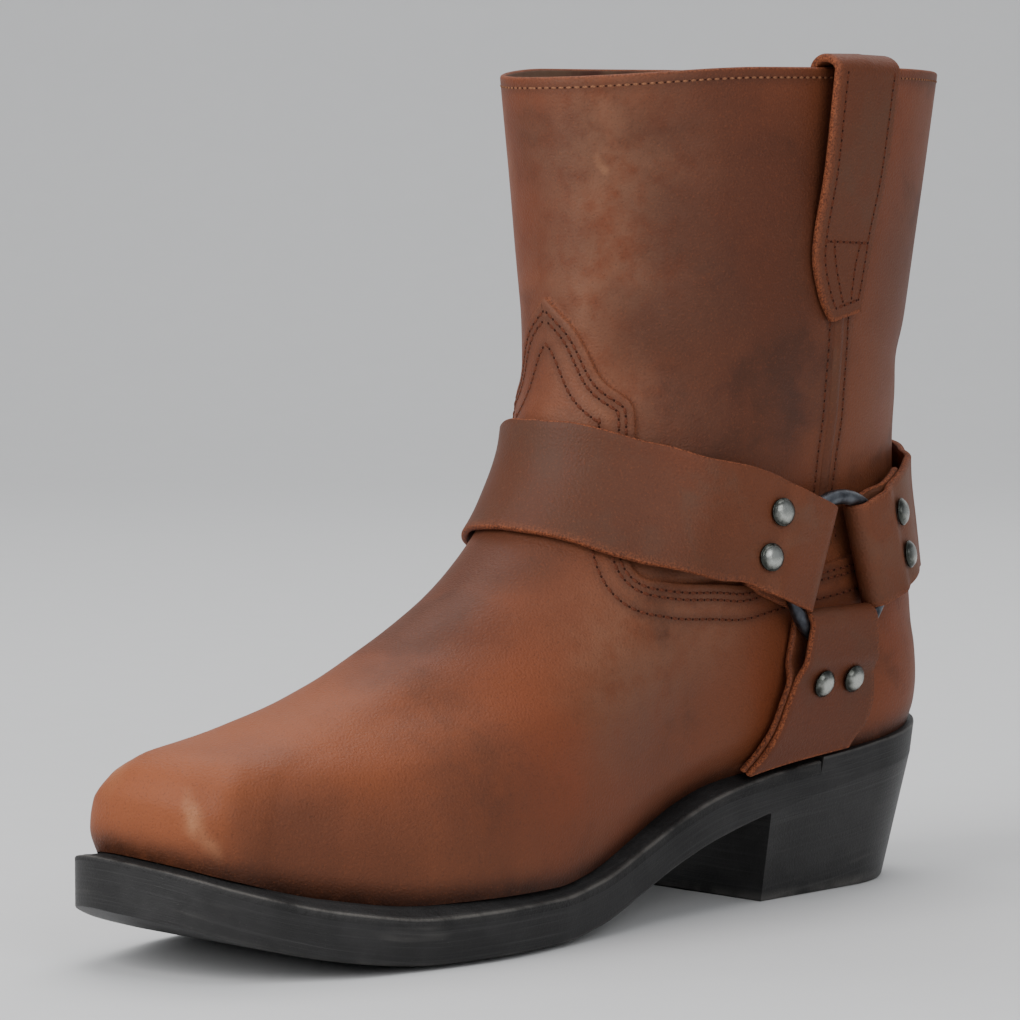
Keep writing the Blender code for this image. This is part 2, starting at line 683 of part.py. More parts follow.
def rivet_mesh():
    """Profile of a rivet's domed cap, from the top down its outer side to the middle of its base."""
    turn = np.linspace(0, math.pi / 2, RIVET_RINGS + 1)
    dome = RIVET_RISE - RIVET_RIM
    profile = [(RIVET_RADIUS * math.sin(a), RIVET_RIM + dome * math.cos(a)) for a in turn]
    profile += [(RIVET_RADIUS, 0.0), (0.0, 0.0)]
    mesh = bpy.data.meshes.new("rivet_profile")
    verts = [(radius, 0.0, height) for radius, height in profile]
    mesh.from_pydata(verts, [(i, i + 1) for i in range(len(verts) - 1)], [])
    return mesh


def rivet_pair(name, seats, parts):
    """Two domed rivet caps, each turned with Screw and set on its strap."""
    for letter, (seat, facing) in zip("ab", seats):
        cap = add_object(f"{name}_{letter}", rivet_mesh(), "rivet_nickel", parts)
        cap.location = seat
        cap.rotation_euler = Vector(facing).to_track_quat("Z", "Y").to_euler()
        screw = cap.modifiers.new("turn", "SCREW")
        screw.steps = screw.render_steps = RIVET_STEPS
        screw.use_merge_vertices = True
        screw.merge_threshold = MERGE


def ring(name, side, parts):
    """Round wire ring, held by the straps."""
    centre, outward = ring_seat(side)
    bpy.ops.mesh.primitive_torus_add(
        major_radius=RING_RADIUS, minor_radius=WIRE_RADIUS,
        major_segments=RING_STEPS, minor_segments=WIRE_STEPS,
        location=centre, rotation=Vector(outward).to_track_quat("Z", "Y").to_euler())
    piece = bpy.context.object
    piece.name = name
    piece.data.shade_smooth()
    piece.data.materials.append(material("ring_gunmetal"))
    for holder in list(piece.users_collection):
        holder.objects.unlink(piece)
    parts.objects.link(piece)


def side_seam(name, side, start, parts):
    """Raised bead over the shaft's side seam, from a share of its route down to the counter."""
    route = Route(SEAM_ROUTE, side, (1, 0, 0))
    lengths = np.linspace(start * route.length(), route.length(), SEAM_STATIONS)
    shares = np.array([-1.0, -0.5, 0.5, 1.0]) * SEAM_HALF
    heights = SEAM_SEAT + np.array([0.0, SEAM_RISE, SEAM_RISE, 0.0])
    ones = np.ones((SEAM_STATIONS, 1))
    sections = route.over(lengths, ones * shares, ones * heights)
    add_object(name, loft(name, [list(row) for row in sections]), "leather_brown", parts)


def pull_strap(parts):
    """Pull strap: a tapered end sewn outside, a loop that stands over the collar, and an end sewn inside."""
    seat = PULL_SEAT + PULL_THICK / 2
    levels = np.linspace(PULL.columns["level"][0], 1.0, PULL_STATIONS)
    stand = PULL.at("stand", levels) + seat
    rows = [(level, PULL.at("turn", level), PULL.at("half", level), height, 0.0)
            for level, height in zip(levels, stand)]
    top_turn = float(PULL.at("turn", 1.0))
    inside = -(WALL + seat)
    middle = (stand[-1] + inside) / 2
    radius = (stand[-1] - inside) / 2
    top_half = float(PULL.at("half", 1.0))
    for bend in np.linspace(0, math.pi, FOLD_STEPS + 2):
        height = middle + radius * math.cos(bend)
        rows.append((1.0, top_turn, top_half, height, PULL_ARCH * math.sin(bend)))
    for level in np.linspace(1.0, PULL_INSIDE_LEVEL, PULL_INSIDE_ROWS)[1:]:
        rows.append((level, top_turn, PULL_INSIDE_HALF, inside, 0.0))
    route = Route(PULL_LINE, 1, (1, 0, 0))
    lengths = np.interp([row[0] for row in rows], route.levels, route.run)
    across = np.array([row[2] for row in rows])[:, None] * np.linspace(-1, 1, STRAP_ACROSS)
    heights = np.array([row[3] for row in rows])[:, None]
    points = route.over(lengths, across, heights)
    points[:, :, 2] += np.array([row[4] for row in rows])[:, None]
    add_object("pull_strap", ribbon("pull_strap", points, PULL_THICK), "leather_brown", parts)


def main():
    for piece in list(bpy.data.objects):
        bpy.data.objects.remove(piece, do_unlink=True)
    parts = bpy.data.collections.new("harness_boot")
    bpy.context.scene.collection.children.link(parts)
    outsole(parts)
    heel(parts)
    welt(parts)
    insole(parts)
    upper(parts)
    side_seam("side_seam_outer", 1, SEAM_UNDER_PULL, parts)
    side_seam("side_seam_inner", -1, 0.0, parts)
    pull_strap(parts)
    harness_strap("instep_strap", FRONT_ROUTE, INSTEP_FIT, parts)
    harness_strap("heel_strap", BACK_ROUTE, HEEL_FIT, parts)
    for side, word in ((1, "outer"), (-1, "inner")):
        anchor_strap(f"anchor_strap_{word}", side, parts)
        ring(f"ring_{word}", side, parts)


main()
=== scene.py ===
"""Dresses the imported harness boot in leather, stitching, hardware and sole, and sets its studio."""
import math
from collections import namedtuple

import bmesh
import bpy
import numpy as np
from mathutils import Matrix, Vector
from mathutils.kdtree import KDTree


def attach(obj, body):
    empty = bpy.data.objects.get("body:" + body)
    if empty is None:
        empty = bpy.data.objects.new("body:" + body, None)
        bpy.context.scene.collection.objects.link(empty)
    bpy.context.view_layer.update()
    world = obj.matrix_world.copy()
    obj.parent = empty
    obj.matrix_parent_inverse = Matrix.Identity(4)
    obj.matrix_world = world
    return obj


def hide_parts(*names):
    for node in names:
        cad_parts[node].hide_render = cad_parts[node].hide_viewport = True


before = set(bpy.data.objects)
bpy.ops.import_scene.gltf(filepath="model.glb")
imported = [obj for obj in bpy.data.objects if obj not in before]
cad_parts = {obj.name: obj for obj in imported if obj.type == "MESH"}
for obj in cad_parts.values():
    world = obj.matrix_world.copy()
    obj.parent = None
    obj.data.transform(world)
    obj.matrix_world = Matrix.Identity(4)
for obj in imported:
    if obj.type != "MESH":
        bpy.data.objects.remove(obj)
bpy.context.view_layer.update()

bl_info = {
    "name": "Harness Boot",
    "version": (1, 0, 0),
    "blender": (4, 5, 0),
    "location": "View3D > Sidebar > Boot",
    "description": "Dresses a harness boot in leather, stitching, hardware and sole",
    "category": "Object",
}

BODY = "root"
SIDES = ((1, "outer"), (-1, "inner"))

# Frame of the part: the sole's heel end is this far behind the origin
HEEL_REST = 0.0470

# Sole
SOLE_LENGTH = 0.3035
SOLE_HEEL_ROUND = 0.0370
SOLE_TOE_ROUND = 0.0210
SOLE_TOE_POWER = 3.2
TOE_SLANT = 0.0100
SLANT_FROM = 0.2450
FLAT_SHARE = 0.78
HEEL_BREAST = 0.0866
HEEL_BACK_SET = 0.0112
HEEL_FLOOR_SHARE = 0.885
HEEL_FLOOR_ROUND = 0.060
WELT_END = 0.0640
WELT_THICK = 0.0052
WELT_STEP = 0.0006

# Upper
WALL = 0.0018
VAMP_STEP = 0.0012
SWING_FADE = 0.45
RING_SHARES = np.array([0.13, 0.40, 0.68, 0.93])
RING_COLUMNS = ("seat", "waist", "ball", "toe")
RING_SAMPLES = 900
TURN_STEPS = 720
LEVEL_STEPS = 480
PROBE = 0.003

# Harness
RING_RADIUS = 0.0215
WIRE_RADIUS = 0.0022
RING_HEIGHT = 0.0076
STRAP_THICK = 0.0022
FOLD_SLACK = 0.0009
GAP = 0.0003
INNER_END = 0.0380
RIVET_RADIUS = 0.0041
RIVET_APART = 0.0068
RIVET_SEAT = 0.0002
ROUTE_SAMPLES = 400
STEP = 0.0015
STRAP_COLUMNS = 19
STRAP_ROWS = 46
END_ROWS = 22
ANCHOR_ROWS = 40
FOLD_ROWS = 14
EDGE_ROUND = 4
RAW_RIM = 0.40
CUT_WAVES = ((0.005, 150, 0), (0.003, 390, 1))
RING_STEPS = 96
WIRE_STEPS = 20
RIVET_STEPS = 28
RIVET_ROWS = 18

# Pull strap
PULL_THICK = 0.0026
PULL_SEAT = 0.0004
PULL_ARCH = 0.0036
PULL_INSIDE_LEVEL = 0.80
PULL_INSIDE_HALF = 0.0120
PULL_ROWS = 60
PULL_BEND_ROWS = 16
PULL_INSIDE_ROWS = 24
PULL_PITCH = 0.0028
PULL_FOOT_ROW = 3
PULL_EDGE_ROW = 0.0027
PULL_BAR_LEVEL = 0.752
PULL_BAR_SHARE = 0.76
PULL_FOOT_SHARE = 0.7
PULL_VEE_LEVEL = 0.672
PULL_VEE_HALF = (0.0008, 0.0050)
PULL_FACING_LEVEL = 0.8

JOIN = 0.000004
SHARP = math.radians(50)


def shade(red, green, blue):
    """Linear colour from screen values of 0 to 255."""
    linear = []
    for value in (red, green, blue):
        share = value / 255
        linear.append(share / 12.92 if share <= 0.04045 else ((share + 0.055) / 1.055) ** 2.4)
    return tuple(linear)


def smooth(knots, values, at):
    """Monotone cubic curve through a table's rows."""
    step = np.diff(knots)
    slope = np.diff(values) / step
    before, after = slope[:-1], slope[1:]
    weight_a = 2 * step[1:] + step[:-1]
    weight_b = step[1:] + 2 * step[:-1]
    turning = before * after <= 0
    safe_before = np.where(turning, 1.0, before)
    safe_after = np.where(turning, 1.0, after)
    mean = (weight_a + weight_b) / (weight_a / safe_before + weight_b / safe_after)
    tangent = np.concatenate([slope[:1], np.where(turning, 0.0, mean), slope[-1:]])
    at = np.clip(at, knots[0], knots[-1])
    i = np.clip(np.searchsorted(knots, at) - 1, 0, len(step) - 1)
    t = (at - knots[i]) / step[i]
    start = (1 + 2 * t) * (1 - t) ** 2 * values[i] + t * (1 - t) ** 2 * step[i] * tangent[i]
    end = t * t * (3 - 2 * t) * values[i + 1] + t * t * (t - 1) * step[i] * tangent[i + 1]
    return start + end


class Rows:
    """A short table with named columns, a row for each section, read through a smooth curve."""

    def __init__(self, columns, *rows):
        self.names = columns.split()
        self.columns = dict(zip(self.names, np.array(rows, float).T))

    def at(self, column, place):
        return smooth(self.columns[self.names[0]], self.columns[column], place)


def rows_of(kind, *rows):
    """A table whose rows are all of one kind."""
    return [kind(*row) for row in rows]


PLAN = Rows(
    "along centre half",
    (0.000, 0.0000, 0.0365),
    (0.040, 0.0000, 0.0368),
    (0.086, 0.0005, 0.0355),
    (0.125, 0.0020, 0.0345),
    (0.165, 0.0020, 0.0405),
    (0.212, 0.0000, 0.0480),
    (0.252, -0.0020, 0.0435),
    (0.284, -0.0030, 0.0325),
    (0.3035, -0.0035, 0.0255),
)
SIDE = Rows(
    "along under thick lift fall arch",
    (0.000, 0.0395, 0.0090, 0.0000, 0.0010, 0.0000),
    (0.045, 0.0336, 0.0094, 0.0000, 0.0010, 0.0003),
    (0.0866, 0.0264, 0.0127, 0.0000, 0.0015, 0.0027),
    (0.112, 0.0203, 0.0147, 0.0003, 0.0023, 0.0062),
    (0.140, 0.0102, 0.0149, 0.0006, 0.0023, 0.0048),
    (0.166, 0.0022, 0.0160, 0.0010, 0.0026, 0.0036),
    (0.182, 0.0000, 0.0165, 0.0012, 0.0028, 0.0030),
    (0.228, 0.0000, 0.0166, 0.0012, 0.0028, 0.0030),
    (0.258, 0.0040, 0.0166, 0.0004, 0.0028, 0.0030),
    (0.283, 0.0107, 0.0170, 0.0002, 0.0030, 0.0034),
    (0.3035, 0.0190, 0.0182, 0.0002, 0.0037, 0.0044),
)
ARCH_FADE = 0.24
COLLAR = Rows(
    "along height",
    (-0.0110, 0.2408),
    (0.0500, 0.2422),
    (0.1000, 0.2422),
    (0.1500, 0.2392),
)
UPPER = Rows(
    "level back front seat waist ball toe heel_round toe_round toe_power",
    (0.000, 0.0030, 0.2968, 0.0335, 0.0258, 0.0415, 0.0250, 0.125, 0.075, 3.2),
    (0.035, 0.0010, 0.2993, 0.0350, 0.0290, 0.0430, 0.0265, 0.125, 0.080, 3.2),
    (0.075, 0.0000, 0.2999, 0.0355, 0.0325, 0.0430, 0.0268, 0.130, 0.085, 3.0),
    (0.115, -0.0003, 0.2970, 0.0352, 0.0335, 0.0420, 0.0268, 0.140, 0.110, 2.8),
    (0.150, 0.0000, 0.2900, 0.0348, 0.0340, 0.0408, 0.0275, 0.155, 0.170, 2.5),
    (0.200, 0.0007, 0.2610, 0.0340, 0.0345, 0.0390, 0.0310, 0.170, 0.270, 2.2),
    (0.255, 0.0018, 0.2290, 0.0330, 0.0345, 0.0370, 0.0325, 0.190, 0.350, 2.1),
    (0.310, 0.0030, 0.2008, 0.0325, 0.0345, 0.0362, 0.0332, 0.220, 0.400, 2.0),
    (0.370, 0.0048, 0.1765, 0.0330, 0.0355, 0.0367, 0.0342, 0.270, 0.430, 2.0),
    (0.440, 0.0060, 0.1570, 0.0352, 0.0378, 0.0378, 0.0362, 0.340, 0.450, 2.0),
    (0.520, 0.0052, 0.1460, 0.0383, 0.0404, 0.0404, 0.0393, 0.420, 0.480, 2.0),
    (0.620, 0.0022, 0.1425, 0.0414, 0.0430, 0.0430, 0.0424, 0.480, 0.500, 2.0),
    (0.800, -0.0040, 0.1447, 0.0448, 0.0455, 0.0455, 0.0449, 0.500, 0.500, 2.0),
    (1.000, -0.0108, 0.1493, 0.0478, 0.0478, 0.0478, 0.0478, 0.500, 0.500, 2.0),
)
EDGE = Rows(
    "place turn level",
    (0.00, 0.000, 0.290),
    (0.15, 0.160, 0.288),
    (0.30, 0.310, 0.286),
    (0.42, 0.450, 0.290),
    (0.52, 0.551, 0.313),
    (0.62, 0.670, 0.341),
    (0.69, 0.735, 0.360),
    (0.76, 0.790, 0.400),
    (0.84, 0.838, 0.520),
    (0.88, 0.850, 0.568),
    (0.93, 0.905, 0.610),
    (0.97, 0.948, 0.676),
    (1.00, 1.000, 0.718),
)
FRONT_ROUTE = Rows(
    "share turn level",
    (0.00, 0.322, 0.280),
    (0.20, 0.455, 0.351),
    (0.50, 0.670, 0.411),
    (0.72, 0.803, 0.451),
    (0.90, 0.940, 0.486),
    (1.00, 1.000, 0.490),
)
BACK_ROUTE = Rows(
    "share turn level",
    (0.00, 0.322, 0.280),
    (0.30, 0.240, 0.310),
    (0.55, 0.168, 0.326),
    (0.80, 0.080, 0.333),
    (1.00, 0.000, 0.338),
)
ANCHOR_ROUTE = Rows(
    "share turn level",
    (0.00, 0.322, 0.280),
    (0.30, 0.288, 0.190),
    (0.60, 0.259, 0.110),
    (0.85, 0.266, 0.050),
    (1.00, 0.276, 0.018),
)
SEAM_ROUTE = Rows(
    "share turn level",
    (0.00, 0.489, 0.985),
    (0.25, 0.481, 0.815),
    (0.50, 0.467, 0.640),
    (0.75, 0.424, 0.461),
    (0.87, 0.391, 0.396),
    (1.00, 0.322, 0.310),
)
PULL = Rows(
    "level turn half stand",
    (0.650, 0.466, 0.0060, 0.0000),
    (0.690, 0.478, 0.0095, 0.0000),
    (0.745, 0.486, 0.0118, 0.0002),
    (0.860, 0.486, 0.0122, 0.0030),
    (1.000, 0.486, 0.0126, 0.0050),
)
PULL_LINE = Rows("level turn", *zip(PULL.columns["level"], PULL.columns["turn"]))

StrapFit = namedtuple(
    "StrapFit", "half_ring half_end seat lead plumb tunnel rivet lie_down single_from floor")
INSTEP_FIT = StrapFit(0.0154, 0.0180, 0.0013, 0.0500, 0.0, 0.0270, 0.0340, 0.0560, 0.0760, 0.0)
HEEL_FIT = StrapFit(0.0152, 0.0178, 0.0006, 0.0430, 0.0, 0.0228, 0.0290, 0.0470, 0.0560, 0.0)
ANCHOR_FIT = StrapFit(0.0128, 0.0206, 0.0013, 0.0700, 1.5, 0.0250, 0.0320, 0.0560, 0.0760, 0.018)

# Creases of the leather: place, tilt in degrees, half length, half width and depth, below 0 for a ridge
Crease = namedtuple("Crease", "turn level tilt reach width depth")
CREASES = rows_of(
    Crease,
    (0.915, 0.760, 84, 0.040, 0.0100, -0.0009),
    (0.800, 0.720, 78, 0.045, 0.0120, 0.0011),
    (0.640, 0.640, 60, 0.035, 0.0100, -0.0008),
    (0.545, 0.560, 70, 0.022, 0.0070, 0.0010),
    (0.760, 0.590, 20, 0.028, 0.0065, 0.0008),
    (-0.880, 0.640, 70, 0.035, 0.0100, 0.0009),
    (-0.600, 0.600, 25, 0.030, 0.0080, 0.0010),
    (0.100, 0.560, 8, 0.030, 0.0070, 0.0010),
    (-0.150, 0.480, -10, 0.028, 0.0065, 0.0009),
    (0.945, 0.300, -14, 0.022, 0.0060, 0.0007),
    (0.860, 0.235, -24, 0.026, 0.0075, 0.0008),
    (-0.880, 0.265, 18, 0.026, 0.0070, 0.0008),
    (0.930, 0.102, 80, 0.010, 0.0040, -0.0014),
    (-0.930, 0.110, 80, 0.018, 0.0110, 0.0021),  # draws in the toe's inner corner
    (0.500, 0.170, 40, 0.030, 0.0090, 0.0006),
)

# Patches of the leather: place, radius and how much shows
Patch = namedtuple("Patch", "turn level radius share")
SMOKY = rows_of(
    Patch,
    (0.805, 0.206, 0.026, 0.45),
    (0.721, 0.168, 0.026, 0.50),
    (0.876, 0.248, 0.020, 0.40),
    (0.537, 0.551, 0.012, 0.75),
    (0.467, 0.140, 0.024, 0.40),
    (-0.700, 0.300, 0.030, 0.60),
    (-0.300, 0.700, 0.034, 0.60),
    (-0.550, 0.120, 0.028, 0.50),
)
# Painted shade: broad darker patches on the shaft's side, its front edge, the vamp's top and the foot's low
# sides
PAINTED_SHADE_PATCHES = rows_of(
    Patch,
    (0.740, 0.930, 0.026, 0.80),
    (0.755, 0.800, 0.028, 0.95),
    (0.745, 0.680, 0.030, 0.95),
    (0.640, 0.850, 0.034, 0.90),
    (0.630, 0.680, 0.034, 0.90),
    (0.700, 0.560, 0.028, 0.85),
    (0.600, 0.520, 0.022, 0.70),
    (0.995, 0.900, 0.022, 0.75),
    (0.995, 0.800, 0.022, 0.65),
    (0.995, 0.680, 0.018, 0.50),
    (0.995, 0.385, 0.024, 0.90),
    (0.995, 0.330, 0.024, 0.90),
    (0.960, 0.290, 0.020, 0.50),
    (0.860, 0.040, 0.028, 0.85),
    (0.790, 0.040, 0.028, 0.75),
    (0.700, 0.045, 0.030, 0.55),
    (0.600, 0.050, 0.026, 0.35),
    (0.925, 0.035, 0.012, 0.55),
    (-0.860, 0.055, 0.022, 0.70),
    (-0.640, 0.800, 0.034, 0.60),
    (0.200, 0.700, 0.034, 0.55),
    (-0.150, 0.250, 0.030, 0.50),
)
# Rubbed spots and painted highlights: the three on the toe's corners are painted highlights
RUBS_AND_HIGHLIGHTS = rows_of(
    Patch,
    (0.960, 0.082, 0.0046, 0.50),
    (0.948, 0.064, 0.0040, 0.32),
    (-0.970, 0.105, 0.0070, 0.35),
    (0.900, 0.900, 0.0016, 0.22),
    (0.755, 0.785, 0.0014, 0.25),
)
# Grey waxy patches and painted sheen: the first three form the painted sheen band down the shaft's front
WAX_AND_SHEEN_PATCHES = rows_of(
    Patch,
    (0.880, 0.880, 0.030, 0.85),
    (0.900, 0.760, 0.028, 0.85),
    (0.890, 0.690, 0.022, 0.60),
    (0.873, 0.579, 0.022, 0.50),
    (0.797, 0.521, 0.020, 0.45),
    (0.851, 0.456, 0.022, 0.50),
    (0.621, 0.258, 0.026, 0.50),
    (0.535, 0.273, 0.020, 0.45),
    (-0.800, 0.850, 0.026, 0.50),
    (-0.480, 0.500, 0.026, 0.45),
)
RUSTY = rows_of(
    Patch,
    (0.678, 0.193, 0.016, 0.80),
    (0.903, 0.368, 0.022, 0.60),
    (0.857, 0.158, 0.024, 0.60),
    (0.927, 0.311, 0.022, 0.55),
    (0.976, 0.660, 0.022, 0.60),
    (-0.990, 0.800, 0.030, 0.60),
    (0.673, 0.880, 0.018, 0.40),
    (-0.850, 0.200, 0.028, 0.60),
    (-0.500, 0.850, 0.028, 0.45),
    (0.050, 0.200, 0.030, 0.40),
)


def ease(share):
    share = np.clip(share, 0, 1)
    return share * share * (3 - 2 * share)


def unit(vectors):
    return vectors / np.linalg.norm(vectors, axis=-1, keepdims=True)


def end_cap(depth, power):
    """Width share of a rounded end: 0 at its tip, 1 where the rounding stops."""
    depth = np.clip(depth, 0, 1)
    return (1 - (1 - depth) ** power) ** (1 / power)


def sole_half(along):
    heel = end_cap(along / SOLE_HEEL_ROUND, 2.0)
    toe = end_cap((SOLE_LENGTH - along) / SOLE_TOE_ROUND, SOLE_TOE_POWER)
    return PLAN.at("half", along) * heel * toe


def feather(along):
    """Height of the seat that the upper stands on."""
    return SIDE.at("under", along) + SIDE.at("thick", along)


def heel_lean(along, depth):
    """How far the heel's back moves forward at a depth under the seat."""
    return HEEL_BACK_SET * depth / feather(0.0) * np.clip(1 - along / HEEL_BREAST, 0, None)


def set_back(along, y):
    """How far a place lies behind the inner side's near the toe, whose end runs at a slant."""
    share = ease((along - SLANT_FROM) / (SOLE_LENGTH - SLANT_FROM))
    return TOE_SLANT * share * (1 + (y - PLAN.at("centre", along)) / PLAN.at("half", along)) / 2


def path_length(points):
    steps = np.linalg.norm(np.diff(points, axis=0), axis=1)
    return np.concatenate([[0], np.cumsum(steps)])


class Form:
    """The upper's form by turn (0 back, 1 or -1 front, positive outside) and level (0 welt, 1 collar)."""

    def __init__(self):
        share = (1 - np.cos(np.linspace(0, math.pi, RING_SAMPLES))) / 2
        reach = np.linspace(0, 1, TURN_STEPS + 1)
        rows = []
        for level in np.linspace(0, 1, LEVEL_STEPS + 1):
            widths = np.array([UPPER.at(name, level) for name in RING_COLUMNS])
            half = smooth(RING_SHARES, widths, share)
            half = half * end_cap(share / UPPER.at("heel_round", level), 2.0)
            half = half * end_cap((1 - share) / UPPER.at("toe_round", level), UPPER.at("toe_power", level))
            back = UPPER.at("back", level)
            along = back + (UPPER.at("front", level) - back) * share
            run = path_length(np.column_stack([along, half]))
            place = np.interp(reach, run / run[-1], along)
            width = np.interp(reach, run / run[-1], half)
            swing = PLAN.at("centre", place) * max(0.0, 1 - level / SWING_FADE)
            arch = SIDE.at("arch", place)
            height = (feather(place) - arch) * (1 - level) + COLLAR.at("height", place) * level
            height = height + arch * max(0.0, 1 - level / ARCH_FADE) ** 2
            rows.append(np.column_stack([place - HEEL_REST, swing, width, height]))
        self.net = np.array(rows)

    def points(self, turns, levels):
        turns, levels = np.broadcast_arrays(np.asarray(turns, float), np.asarray(levels, float))
        turns = (turns + 1) % 2 - 1
        column = np.abs(turns) * TURN_STEPS
        row = np.clip(levels, 0, 1) * LEVEL_STEPS
        i = np.minimum(row.astype(int), LEVEL_STEPS - 1)
        j = np.minimum(column.astype(int), TURN_STEPS - 1)
        up, on = (row - i)[..., None], (column - j)[..., None]
        low = self.net[i, j] * (1 - on) + self.net[i, j + 1] * on
        high = self.net[i + 1, j] * (1 - on) + self.net[i + 1, j + 1] * on
        value = low * (1 - up) + high * up
        y = value[..., 1] + np.copysign(value[..., 2], turns)
        along = value[..., 0] + HEEL_REST
        place = along - set_back(along, y)
        return np.stack([place - HEEL_REST, y, value[..., 3] + feather(place) - feather(along)], axis=-1)

    def slopes(self, turns, levels):
        """Change of place with turn and with level."""
        turns, levels = np.broadcast_arrays(np.asarray(turns, float), np.asarray(levels, float))
        above, below = np.minimum(levels + PROBE, 1), np.maximum(levels - PROBE, 0)
        around = (self.points(turns + PROBE, levels) - self.points(turns - PROBE, levels)) / (2 * PROBE)
        up = (self.points(turns, above) - self.points(turns, below)) / (above - below)[..., None]
        return around, up

    def normals(self, turns, levels):
        """Outward directions; they lie level at the welt and at the collar."""
        turns, levels = np.broadcast_arrays(np.asarray(turns, float), np.asarray(levels, float))
        around, up = self.slopes(turns, levels)
        normal = np.cross(up, around)
        normal[..., 2] = np.where((levels <= 0) | (levels >= 1), 0, normal[..., 2])
        return unit(normal)

    def shift(self, turns, levels, direction, distance):
        """Turns and levels of places a distance away along the surface."""
        around, up = self.slopes(turns, levels)
        aa, bb, ab = (around ** 2).sum(-1), (up ** 2).sum(-1), (around * up).sum(-1)
        da, db = (around * direction).sum(-1), (up * direction).sum(-1)
        size = aa * bb - ab ** 2
        level = levels + distance * (db * aa - da * ab) / size
        return turns + distance * (da * bb - db * ab) / size, np.clip(level, 0, 1)


FORM = Form()


def crease_depth(points, normals):
    """How far the leather sinks or swells at points of the upper."""
    sink = np.zeros(points.shape[:-1])
    for crease in CREASES:
        centre = FORM.points(crease.turn, crease.level)
        around, up = (unit(slope) for slope in FORM.slopes(crease.turn, crease.level))
        tilt = math.radians(crease.tilt)
        facing = FORM.normals(crease.turn, crease.level)
        along = around * math.cos(tilt) + up * math.sin(tilt)
        across = np.cross(facing, along)
        offset = points - centre
        bell = np.exp(-(offset @ along / crease.reach) ** 2 - (offset @ across / crease.width) ** 2)
        sink += crease.depth * bell * np.clip(normals @ facing, 0, 1)
    return sink


class Route:
    """A line over the upper, read by its length, with a frame of its own for what lies on it."""

    def __init__(self, table, side, toward, floor=0.0):
        start, end = table.columns[table.names[0]][[0, -1]]
        places = np.linspace(start, end, ROUTE_SAMPLES)
        self.turns = side * table.at("turn", places)
        self.levels = table.at("level", places)
        self.run = path_length(FORM.points(self.turns, self.levels))
        self.toward = np.array(toward, float)
        self.floor = floor

    def climb(self, lengths):
        """How much of a step across the route may change level."""
        return np.ones(len(lengths))

    def length(self):
        return self.run[-1]

    def place(self, lengths):
        return np.interp(lengths, self.run, self.turns), np.interp(lengths, self.run, self.levels)

    def spot(self, lengths, across):
        """Turns and levels: a row for each length, a column for each distance across the route."""
        lengths = np.asarray(lengths, float)
        turns, levels = self.place(lengths)
        ahead = FORM.points(*self.place(lengths + STEP)) - FORM.points(*self.place(lengths - STEP))
        cross = unit(np.cross(FORM.normals(turns, levels), ahead))
        cross *= np.sign(cross @ self.toward)[:, None]
        turns, levels = turns[:, None], levels[:, None]
        turn, level = FORM.shift(turns, levels, cross[:, None, :], across)
        level = levels + (level - levels) * self.climb(lengths)[:, None]
        return turn, np.maximum(level, self.floor)

    def over(self, lengths, across, heights):
        """Points over the upper."""
        turn, level = self.spot(lengths, across)
        return FORM.points(turn, level) + FORM.normals(turn, level) * np.asarray(heights)[..., None]


def ring_seat(side):
    """Centre and outward direction of a ring."""
    turn, level = side * FRONT_ROUTE.columns["turn"][0], FRONT_ROUTE.columns["level"][0]
    outward = FORM.normals(turn, level)
    return FORM.points(turn, level) + outward * RING_HEIGHT, outward


